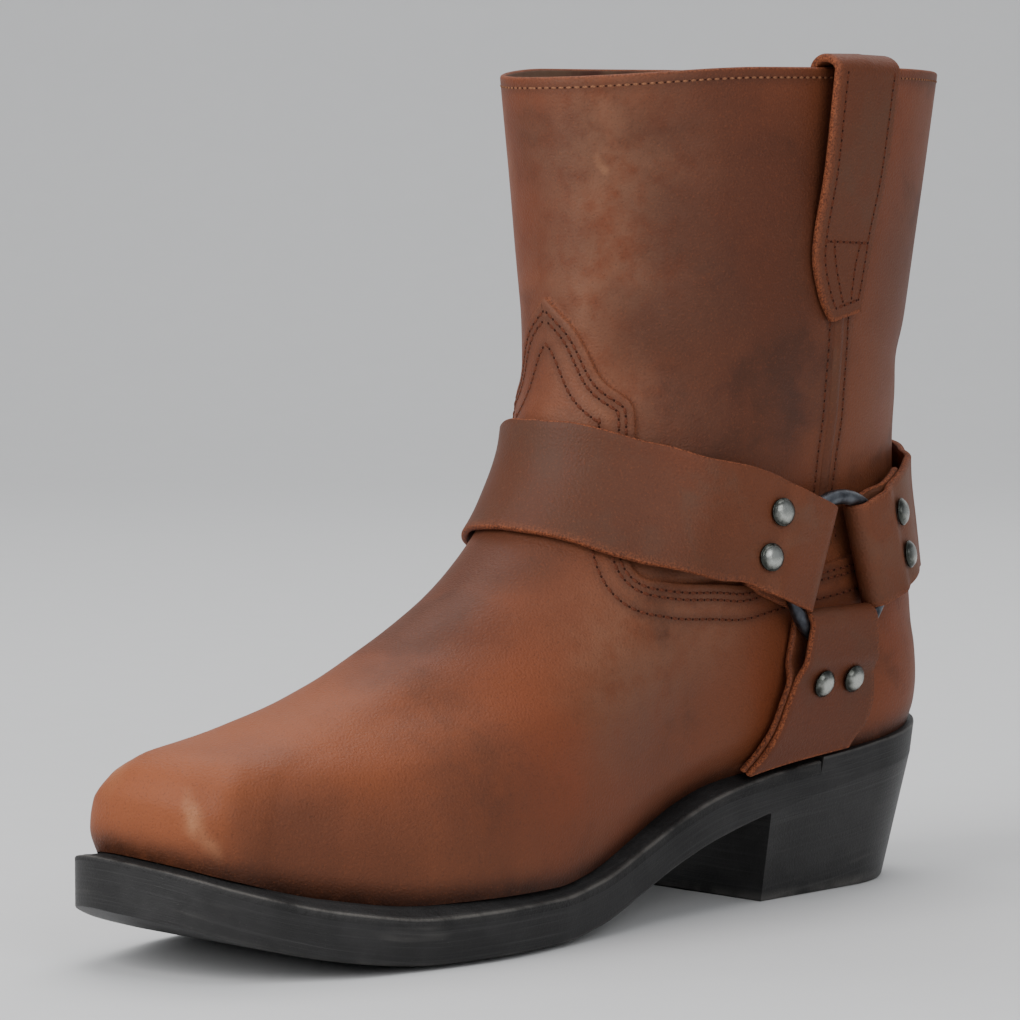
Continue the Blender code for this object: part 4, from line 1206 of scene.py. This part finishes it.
def build_straps():
    """Instep, heel and anchor straps, folded round the rings."""
    for name in ("instep_strap", "heel_strap"):
        halves = []
        for side, _ in SIDES:
            strap = make_strap(name, side)
            run = np.linspace(strap.fit.lie_down, strap.length(), STRAP_ROWS)[1:]
            halves.append(np.concatenate([strap.end(INNER_END, END_ROWS), strap.sheet(run, 1)]))
        middle = np.concatenate([halves[0], halves[1][-2::-1]])
        add_piece(name + "_leather", strip(middle, STRAP_THICK), [strap_skin()], "leather_brown", name)
    for side, word in SIDES:
        strap = make_strap("anchor_strap", side)
        inner = np.linspace(strap.length(), strap.fold, ANCHOR_ROWS)
        outer = np.linspace(strap.fold, strap.length(), ANCHOR_ROWS)
        middle = np.concatenate([strap.sheet(inner, -1), strap.loop(), strap.sheet(outer, 1)])
        name = f"anchor_strap_{word}"
        add_piece(name + "_leather", strip(middle, STRAP_THICK), [strap_skin()], "leather_brown", name)


def seat_matrix(seat, facing):
    return Matrix.Translation(Vector(seat)) @ Vector(facing).to_track_quat("Z", "Y").to_matrix().to_4x4()


def turn_about(bm, geom, steps):
    """Turns edges about Z into a closed shape."""
    bmesh.ops.spin(bm, geom=geom, cent=(0, 0, 0), axis=(0, 0, 1), angle=2 * math.pi, steps=steps,
                   use_merge=True)
    bmesh.ops.remove_doubles(bm, verts=bm.verts, dist=JOIN)


def build_rings():
    """Round steel rings, each a turned wire."""
    steel = skin("ring_steel", ring_steel, colours())
    for side, word in SIDES:
        bm = bmesh.new()
        wire = Matrix.Translation((RING_RADIUS, 0, 0)) @ Matrix.Rotation(math.pi / 2, 4, "X")
        bmesh.ops.create_circle(bm, segments=WIRE_STEPS, radius=WIRE_RADIUS, matrix=wire)
        turn_about(bm, bm.verts[:] + bm.edges[:], RING_STEPS)
        bmesh.ops.recalc_face_normals(bm, faces=bm.faces)
        bmesh.ops.transform(bm, matrix=seat_matrix(*ring_seat(side)), verts=bm.verts)
        add_piece(f"ring_{word}_steel", bm, [steel], "ring_gunmetal", f"ring_{word}")


RIVET_PROFILE = Rows(
    "share radius height",
    (0.00, 0.0000, 0.00225),
    (0.20, 0.0012, 0.00218),
    (0.40, 0.0024, 0.00188),
    (0.60, 0.0034, 0.00130),
    (0.72, 0.0038, 0.00078),
    (0.80, 0.0041, 0.00062),
    (0.90, 0.0041, 0.00010),
    (1.00, 0.0037, 0.00000),
)


def add_copy(bm, shape, matrix):
    """Adds a moved copy of a small shape to a larger mesh."""
    one = shape.copy()
    bmesh.ops.transform(one, matrix=matrix, verts=one.verts)
    mesh = bpy.data.meshes.new("copy")
    one.to_mesh(mesh)
    one.free()
    bm.from_mesh(mesh)
    bpy.data.meshes.remove(mesh)


def rivet_cap():
    """One domed cap, turned about Z from its profile."""
    bm = bmesh.new()
    rim = bm.verts.layers.float.new("rim")
    places = np.linspace(0, 1, RIVET_ROWS)
    profile = zip(RIVET_PROFILE.at("radius", places), RIVET_PROFILE.at("height", places))
    cap = [bm.verts.new((radius, 0, height)) for radius, height in profile]
    for vert in cap:
        vert[rim] = min(1.0, vert.co.x / RIVET_RADIUS)
    edges = [bm.edges.new(pair) for pair in zip(cap, cap[1:])]
    turn_about(bm, cap + edges, RIVET_STEPS)
    bmesh.ops.holes_fill(bm, edges=[edge for edge in bm.edges if edge.is_boundary])
    bmesh.ops.recalc_face_normals(bm, faces=bm.faces)
    return bm


def build_rivets():
    """Domed rivet caps on every strap end."""
    cap, bm = rivet_cap(), bmesh.new()
    nodes = []
    for side, word in SIDES:
        for name in STRAPS:
            stem = f"anchor_strap_{word}_rivet" if name == "anchor_strap" else f"{name}_rivet_{word}"
            for letter, seat in zip("ab", make_strap(name, side).rivet_seats()):
                add_copy(bm, cap, seat_matrix(*seat))
                nodes.append(f"{stem}_{letter}")
    cap.free()
    nickel = skin("rivet_nickel_aged", rivet_nickel, colours())
    add_piece("rivet_caps", bm, [nickel], "rivet_nickel", *nodes)


SEAM_SHARES = np.array([-1.0, -0.8, -0.45, 0.0, 0.45, 0.8, 1.0])
SEAM_HALF = 0.0023
SEAM_RISE = 0.0011
SEAM_SINK = 0.0002
SEAM_ROOT = 0.0005
SEAM_ROWS = 150


def build_side_seams():
    """Raised bead down each side of the shaft."""
    for side, word in SIDES:
        route = Route(SEAM_ROUTE, side, (1, 0, 0))
        run = np.linspace(0, route.length(), SEAM_ROWS)
        across = np.ones((len(run), 1)) * SEAM_SHARES * SEAM_HALF
        rise = SEAM_RISE * (1 - SEAM_SHARES ** 2) - SEAM_SINK
        turn, level = route.spot(run, across)
        normals = FORM.normals(turn, level)
        base = FORM.points(turn, level)
        base = base - normals * crease_depth(base, normals)[..., None]
        points = base + normals * (rise * np.ones(across.shape))[..., None]
        low = (base - normals * SEAM_ROOT)[:, ::-1]
        loop = np.concatenate([points, low, points[:, :1]], axis=1)
        middle = np.repeat(loop[[0, -1]].mean(axis=1, keepdims=True), loop.shape[1], axis=1)
        loop = np.concatenate([middle[:1], loop, middle[1:]])
        name = f"side_seam_{word}"
        add_piece(name + "_bead", net(loop, {"raw": 0.0}), [trim_skin()], "leather_brown", name)


def pull_sheet(rows, shares, lift):
    """Points of the pull strap's sheet; a row is level, half width, height over the shaft and rise."""
    route = Route(PULL_LINE, 1, (1, 0, 0))
    level, half, height, rise = np.array(rows, float).T
    run = np.interp(level, route.levels, route.run)
    across = half[:, None] * shares
    points = route.over(run, across, np.broadcast_to((height + lift)[:, None], across.shape)).copy()
    points[..., 2] += rise[:, None]
    return points


def pull_rows():
    """Rows of the pull strap from its tapered end, over the collar, to its end inside the shaft."""
    seat = PULL_SEAT + PULL_THICK / 2
    rows = [(level, PULL.at("half", level), PULL.at("stand", level) + seat, 0.0)
            for level in np.linspace(PULL.columns["level"][0], 1.0, PULL_ROWS)]
    inside = -(WALL + seat)
    stand = rows[-1][2]
    middle, radius, half = (stand + inside) / 2, (stand - inside) / 2, rows[-1][1]
    for bend in np.linspace(0, math.pi, PULL_BEND_ROWS)[1:]:
        rows.append((1.0, half, middle + radius * math.cos(bend), PULL_ARCH * math.sin(bend)))
    for level in np.linspace(1.0, PULL_INSIDE_LEVEL, PULL_INSIDE_ROWS)[1:]:
        rows.append((level, PULL_INSIDE_HALF, inside, 0.0))
    return rows


def build_pull_strap():
    """Pull strap with its rows of stitches."""
    middle = pull_sheet(pull_rows(), np.linspace(-1, 1, STRAP_COLUMNS), 0.0)
    add_piece("pull_strap_leather", strip(middle, PULL_THICK), [trim_skin()], "leather_brown", "pull_strap")
    outside = pull_rows()[:PULL_ROWS]
    lift = PULL_THICK / 2

    def line(rows, shares):
        """Places along the strap, one to a row."""
        return [pull_sheet([row], np.array([share]), lift)[0, 0] for row, share in zip(rows, shares)]

    sewn = outside[PULL_FOOT_ROW:]
    rows = [line(sewn, [sign * (row[1] - PULL_EDGE_ROW) / row[1] for row in sewn]) for sign in (1, -1)]
    across = np.linspace(-PULL_BAR_SHARE, PULL_BAR_SHARE, 30)
    bar = [row for row in outside if row[0] >= PULL_BAR_LEVEL][0]
    rows.append(pull_sheet([bar], across, lift)[0])
    rows.append(pull_sheet([sewn[0]], across * PULL_FOOT_SHARE, lift)[0])
    vee = [row for row in outside if PULL_VEE_LEVEL <= row[0] <= bar[0]]
    foot = PULL.columns["level"][0]
    least, more = PULL_VEE_HALF
    for sign in (1, -1):
        shares = [sign * (least + more * (row[0] - foot) / (bar[0] - foot)) / row[1] for row in vee]
        rows.append(line(vee, shares))
    facing = FORM.normals(PULL.at("turn", PULL_FACING_LEVEL), PULL_FACING_LEVEL)
    rows = [(np.array(row), np.tile(facing, (len(row), 1))) for row in rows]
    sew_rows("pull_strap_stitches", rows, "leather_brown", dark_thread(), PULL_PITCH)


def build_stitching():
    """Stitches of the vamp, the side seams and the collar."""
    vamp, seam, collar = stitch_rows()
    dark = dark_thread()
    pale = skin("pale_thread", thread, colours().collar_thread)
    pitch = sizes().stitch_pitch
    sew_rows("vamp_stitches", vamp, "leather_brown", dark, pitch)
    sew_rows("seam_stitches", seam, "leather_brown", dark, pitch)
    sew_rows("collar_stitches", collar, "leather_brown", pale, pitch * COLLAR_PITCH_SHARE,
             scale=COLLAR_STITCH_SHARE)


def sole_outline(count):
    """The sole's edge all the way round from the heel: along, side to side, and the direction inwards."""
    along = SOLE_LENGTH * (1 - np.cos(np.linspace(0, math.pi, 3000))) / 2
    half = sole_half(along)
    run = path_length(np.column_stack([along, half]))
    even = np.linspace(0, run[-1], count + 1)
    along, half = np.interp(even, run, along), np.interp(even, run, half)
    outer = np.column_stack([along, half])
    loop = np.concatenate([outer, (outer * (1, -1))[-2::-1]])
    ahead = np.gradient(np.concatenate([loop[-2:-1], loop, loop[1:2]]), axis=0)[1:-1]
    inward = unit(np.column_stack([-ahead[:, 1], ahead[:, 0]]))
    inward *= -np.sign((inward * (loop - np.array([SOLE_LENGTH * 0.45, 0]))).sum(1))[:, None]
    return loop, inward


def sole_row(loop, inward, inset, height):
    """A row round the sole, set in from its edge; height gives z from the place along the sole."""
    place = loop + inward * inset
    along = np.clip(place[:, 0], 0, SOLE_LENGTH)
    y = place[:, 1] + PLAN.at("centre", along)
    back = set_back(along, y)
    z = height(along - back)
    x = place[:, 0] - back + heel_lean(along, np.maximum(feather(along - back) - z, 0))
    return np.column_stack([x - HEEL_REST, y, z])


def outsole_top(along):
    return feather(along) - WELT_THICK * ease((along - WELT_END) / WELT_STEP)


def outsole_low(along):
    return SIDE.at("under", along) + SIDE.at("lift", along)


SOLE_COLUMNS = 330
BREAST_COLUMNS = 60
BREAST_GAP = 0.0004


def drop_under_seat(points):
    return feather(points[..., 0] + HEEL_REST) - points[..., 2]


def add_sole(name, node, points, drop, wear_and_highlight, gloss, coarse=0.0):
    """A piece of the sole, with the marks that its rubber reads and a rubber of its own."""
    rubber = skin(f"{node}_black", sole_rubber, colours(), gloss, coarse)
    add_piece(name, net(points, {"drop": drop, "wear_and_highlight": wear_and_highlight}), [rubber], "sole_black", node)


def build_outsole():
    """Outsole with a blackened, slightly rounded edge and a flat tread."""
    loop, inward = sole_outline(SOLE_COLUMNS)
    spine = np.column_stack([loop[:, 0], np.zeros(len(loop))])
    still = np.zeros_like(inward)
    rows = [sole_row(spine, still, 0, outsole_top)]
    soft = np.where(loop[:, 0] < WELT_END, 1.0, 0.0)
    rows += [sole_row(loop, inward * soft[:, None], inset, lambda a, d=drop: outsole_top(a) - d * soft)
             for inset, drop in ((0.0060, 0.0), (0.0006, 0.0), (0.00015, 0.00015), (0.0, 0.0006))]
    rows += [sole_row(loop, inward, 0.0, lambda a, t=share: outsole_top(a) * (1 - t) + outsole_low(a) * t)
             for share in np.linspace(0.1, 0.9, 7)]
    soft = np.where(loop[:, 0] > HEEL_BREAST, 1.0, 0.0) * np.abs(inward[:, 1]) ** 2
    rows += [sole_row(loop, inward * soft[:, None], inset, lambda a, r=rise: outsole_low(a) + r * soft)
             for inset, rise in ((0.0, 0.0007), (0.0002, 0.0002), (0.0008, 0.0))]
    rows.append(sole_row(loop * (1, FLAT_SHARE), still, 0, lambda a: SIDE.at("under", a)))
    rows.append(sole_row(spine, still, 0, lambda a: SIDE.at("under", a)))
    points = np.array(rows)
    wear_and_highlight = np.zeros(points.shape[:2])
    # Wear and painted highlight: the outsole's top corner at the heel, and faintly its lower edge
    wear_and_highlight[3:5] = 0.5 * (loop[:, 0] < WELT_END)
    wear_and_highlight[-5:-2] = 0.2 * soft
    add_sole("outsole_edge", "outsole", points, drop_under_seat(points), wear_and_highlight, 0.37)


# Rows round the welt: inset, share of its fall, rise over the seat, and wear with painted highlight
WELT_PROFILE = (
    (0.0, 0.0, -WELT_THICK, 0.0),
    (0.0, 1.0, -0.0007, 0.1),
    (0.0002, 1.0, -0.0003, 0.9),
    (0.0007, 1.0, 0.0, 1.0),
    (0.0012, 0.94, 0.0, 0.3),
    (0.0018, 0.82, 0.0, 0.0),
    (0.0034, 0.62, 0.0, 0.0),
    (0.0050, 0.36, 0.0, 0.0),
    (0.0075, 0.05, 0.0, 0.0),
    (0.0105, 0.0, -0.0002, 0.0),
    (0.0105, 0.0, -WELT_THICK, 0.0),
    (0.0, 0.0, -WELT_THICK, 0.0),
)


def build_welt():
    """Welt: its rough top shows round the foot, with a rubbed outer corner that carries a painted highlight.
    """
    loop, inward = sole_outline(SOLE_COLUMNS)
    keep = loop[:, 0] >= WELT_END
    loop, inward = loop[keep], inward[keep]
    rows = [sole_row(loop, inward, inset, lambda a, s=share, r=rise: feather(a) - s * SIDE.at("fall", a) + r)
            for inset, share, rise, _ in WELT_PROFILE]
    points = np.array(rows)
    ends = np.repeat(points[:, [0, -1]].mean(axis=0, keepdims=True), len(points), axis=0)
    points = np.concatenate([ends[:, :1], points, ends[:, 1:]], axis=1)
    wear_and_highlight = np.array(WELT_PROFILE)[:, 3:]
    add_sole("welt_strip", "welt", points, drop_under_seat(points), wear_and_highlight, 0.55, coarse=4.0)


def build_heel():
    """Block heel: brushed sides that lean in, a flat breast and a softened floor edge."""
    loop, _ = sole_outline(SOLE_COLUMNS)
    back = loop[loop[:, 0] < HEEL_BREAST - BREAST_GAP]
    turn = int(np.argmax((back[:-1, 1] >= 0) & (back[1:, 1] < 0))) + 1
    outer, inner = back[:turn], back[turn:]
    half = sole_half(np.array([HEEL_BREAST]))[0]
    wide = np.linspace(1, -1, BREAST_COLUMNS)
    breast = np.column_stack([np.full(len(wide), HEEL_BREAST), half * wide])
    plan = np.concatenate([outer, breast, inner, outer[:1]])
    along, side = plan.T

    def row(share, inset, rise):
        top = along + heel_lean(along, feather(along) - SIDE.at("under", along))
        floor = along + heel_lean(along, feather(0.0))
        narrow = HEEL_FLOOR_SHARE - HEEL_FLOOR_ROUND * (1 - along / HEEL_BREAST)
        x = top + (floor - top) * share
        y = side * (1 + (narrow - 1) * share)
        middle = HEEL_BREAST * 0.55
        reach = np.hypot(x - middle, y)
        x, y = x - (x - middle) / reach * inset, y - y / reach * inset
        z = SIDE.at("under", along) * (1 - share) + rise
        return np.column_stack([x - HEEL_REST, y + PLAN.at("centre", along), z])

    def spine(share, rise):
        flat = row(share, 0.0, rise)
        flat[:, 1] = PLAN.at("centre", along)
        return flat

    rows = [spine(0.0, 0.0)] + [row(share, 0.0, 0.0) for share in np.linspace(0, 0.97, 12)]
    rows += [row(0.985, 0.0001, 0.0), row(1.0, 0.0005, 0.0001), row(1.0, 0.0010, 0.0), spine(1.0, 0.0)]
    points = np.array(rows)
    drop = np.clip(feather(along) - points[..., 2], 0, None)
    wear_and_highlight = np.zeros(points.shape[:2])
    # Wear and painted highlight on the heel's floor edge
    wear_and_highlight[-5:-1] = 0.7
    add_sole("heel_block", "heel", points, drop, wear_and_highlight, 0.31)


def build_insole():
    """The foot bed keeps its own solid and gets a leather finish that looks well used."""
    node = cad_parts["insole"]
    node.data.materials.clear()
    node.data.materials.append(skin("insole_leather", insole_leather, colours()))


EYE = Vector((1.0722, 0.9598, 0.2304))
AIM = Vector((0.1114, 0.0, 0.1174))
LENS = 168.95
SENSOR = 36.0
FLOOR_REACH = 3.2
FLOOR_HALF_WIDTH = 4
BEND_FROM = 1.6
BEND_RADIUS = 0.9
WALL_STRETCH = 3
AIR_COLOUR = (0.92, 0.95, 1.0, 1.0)
AIR_STRENGTH = 0.42

# Lights: name, place, size and watts
LIGHTS = (
    ("key", (1.50, -0.20, 0.95), (1.0, 1.2), 23),
    ("fill", (0.6, 1.7, 0.9), (1.2, 1.2), 12),
    ("top", (0.1, 0.0, 1.8), (1.5, 1.5), 11),
    ("rim", (-1.2, -0.2, 0.9), (0.8, 1.2), 2),
    ("backdrop", (-0.7, -0.9, 2.2), (2.0, 1.0), 24),
)


def add_light(name, place, size, power):
    data = bpy.data.lights.new(name, "AREA")
    data.shape = "RECTANGLE"
    data.size, data.size_y = size
    data.energy = power
    light = bpy.data.objects.new(name, data)
    light.location = place
    light.rotation_euler = (AIM - Vector(place)).to_track_quat("-Z", "Y").to_euler()
    bpy.context.scene.collection.objects.link(light)


def build_stage():
    """Pale floor that curves up into a backdrop, soft lights and the camera."""
    bm = bmesh.new()
    bmesh.ops.create_grid(bm, x_segments=40, y_segments=2, size=1)
    away = Vector((AIM.x - EYE.x, AIM.y - EYE.y, 0)).normalized()
    aside = Vector((-away.y, away.x, 0))
    for vert in bm.verts:
        run = vert.co.x * FLOOR_REACH
        bend = max(0.0, run - BEND_FROM)
        rise = BEND_RADIUS - math.sqrt(max(0.0, BEND_RADIUS ** 2 - min(bend, BEND_RADIUS) ** 2))
        rise += max(0.0, bend - BEND_RADIUS) * WALL_STRETCH
        out = away * min(run, BEND_FROM + BEND_RADIUS)
        vert.co = out + aside * vert.co.y * FLOOR_HALF_WIDTH + Vector((0.1, 0, rise))
    bmesh.ops.recalc_face_normals(bm, faces=bm.faces)
    mesh = bpy.data.meshes.new("studio_floor")
    bm.to_mesh(mesh)
    bm.free()
    mesh.shade_smooth()
    paint = Paint("studio_paper", roughness=0.9)
    fine = paint.noise(60, 2, 0.5)
    pale = [value * 0.97 for value in colours().floor]
    mesh.materials.append(paint.done(base_color=paint.mix(fine, colours().floor, pale)))
    floor = bpy.data.objects.new("studio_floor", mesh)
    bpy.context.scene.collection.objects.link(floor)
    world = bpy.data.worlds.new("studio_air")
    world.use_nodes = True
    air = world.node_tree.nodes["Background"].inputs
    air["Color"].default_value = AIR_COLOUR
    air["Strength"].default_value = AIR_STRENGTH
    bpy.context.scene.world = world
    for light in LIGHTS:
        add_light(*light)
    data = bpy.data.cameras.new("photo_camera")
    data.lens, data.sensor_width = LENS, SENSOR
    camera = bpy.data.objects.new("photo_camera", data)
    camera.location = EYE
    camera.rotation_euler = (AIM - EYE).to_track_quat("-Z", "Y").to_euler()
    bpy.context.scene.collection.objects.link(camera)
    bpy.context.scene.camera = camera


class BootStep:
    """What the boot's operators share: each runs one maker's step and fails loudly."""
    bl_options = {"REGISTER", "UNDO"}
    step = None

    def execute(self, context):
        type(self).step()
        return {"FINISHED"}


class BOOT_OT_stage(BootStep, bpy.types.Operator):
    """Set the floor, lights and camera"""
    bl_idname = "boot.stage"
    bl_label = "Stage"
    step = staticmethod(build_stage)


class BOOT_OT_upper(BootStep, bpy.types.Operator):
    """Skin the upper with leather and lining"""
    bl_idname = "boot.upper"
    bl_label = "Upper"
    step = staticmethod(build_upper)


class BOOT_OT_straps(BootStep, bpy.types.Operator):
    """Make the harness straps"""
    bl_idname = "boot.straps"
    bl_label = "Straps"
    step = staticmethod(build_straps)


class BOOT_OT_rings(BootStep, bpy.types.Operator):
    """Turn the rings"""
    bl_idname = "boot.rings"
    bl_label = "Rings"
    step = staticmethod(build_rings)


class BOOT_OT_rivets(BootStep, bpy.types.Operator):
    """Set the rivet caps"""
    bl_idname = "boot.rivets"
    bl_label = "Rivets"
    step = staticmethod(build_rivets)


class BOOT_OT_side_seams(BootStep, bpy.types.Operator):
    """Raise the side seams' beads"""
    bl_idname = "boot.side_seams"
    bl_label = "Side Seams"
    step = staticmethod(build_side_seams)


class BOOT_OT_pull_strap(BootStep, bpy.types.Operator):
    """Make the pull strap"""
    bl_idname = "boot.pull_strap"
    bl_label = "Pull Strap"
    step = staticmethod(build_pull_strap)


class BOOT_OT_stitching(BootStep, bpy.types.Operator):
    """Sew the vamp, the side seams and the collar"""
    bl_idname = "boot.stitching"
    bl_label = "Stitching"
    step = staticmethod(build_stitching)


class BOOT_OT_outsole(BootStep, bpy.types.Operator):
    """Trim the outsole"""
    bl_idname = "boot.outsole"
    bl_label = "Outsole"
    step = staticmethod(build_outsole)


class BOOT_OT_welt(BootStep, bpy.types.Operator):
    """Lay the welt"""
    bl_idname = "boot.welt"
    bl_label = "Welt"
    step = staticmethod(build_welt)


class BOOT_OT_heel(BootStep, bpy.types.Operator):
    """Shape the heel"""
    bl_idname = "boot.heel"
    bl_label = "Heel"
    step = staticmethod(build_heel)


class BOOT_OT_insole(BootStep, bpy.types.Operator):
    """Finish the foot bed"""
    bl_idname = "boot.insole"
    bl_label = "Insole"
    step = staticmethod(build_insole)


STEPS = (BOOT_OT_stage, BOOT_OT_upper, BOOT_OT_straps, BOOT_OT_rings, BOOT_OT_rivets, BOOT_OT_side_seams,
         BOOT_OT_pull_strap, BOOT_OT_stitching, BOOT_OT_outsole, BOOT_OT_welt, BOOT_OT_heel, BOOT_OT_insole)


class BOOT_PT_panel(bpy.types.Panel):
    """Lists the boot's settings and steps"""
    bl_idname = "BOOT_PT_panel"
    bl_label = "Harness Boot"
    bl_space_type = "VIEW_3D"
    bl_region_type = "UI"
    bl_category = "Boot"

    def draw(self, context):
        for group in (context.scene.boot_sizes, context.scene.boot_colours):
            for key in group.__annotations__:
                self.layout.prop(group, key)
        for step in STEPS:
            self.layout.operator(step.bl_idname)


CLASSES = (BootSizes, BootColours, *STEPS, BOOT_PT_panel)


def register():
    for one in CLASSES:
        bpy.utils.register_class(one)
    bpy.types.Scene.boot_sizes = bpy.props.PointerProperty(type=BootSizes)
    bpy.types.Scene.boot_colours = bpy.props.PointerProperty(type=BootColours)


def unregister():
    del bpy.types.Scene.boot_colours
    del bpy.types.Scene.boot_sizes
    for one in reversed(CLASSES):
        bpy.utils.unregister_class(one)


def main():
    register()
    for step in STEPS:
        group, name = step.bl_idname.split(".")
        getattr(getattr(bpy.ops, group), name)()


if __name__ == "__main__":
    main()
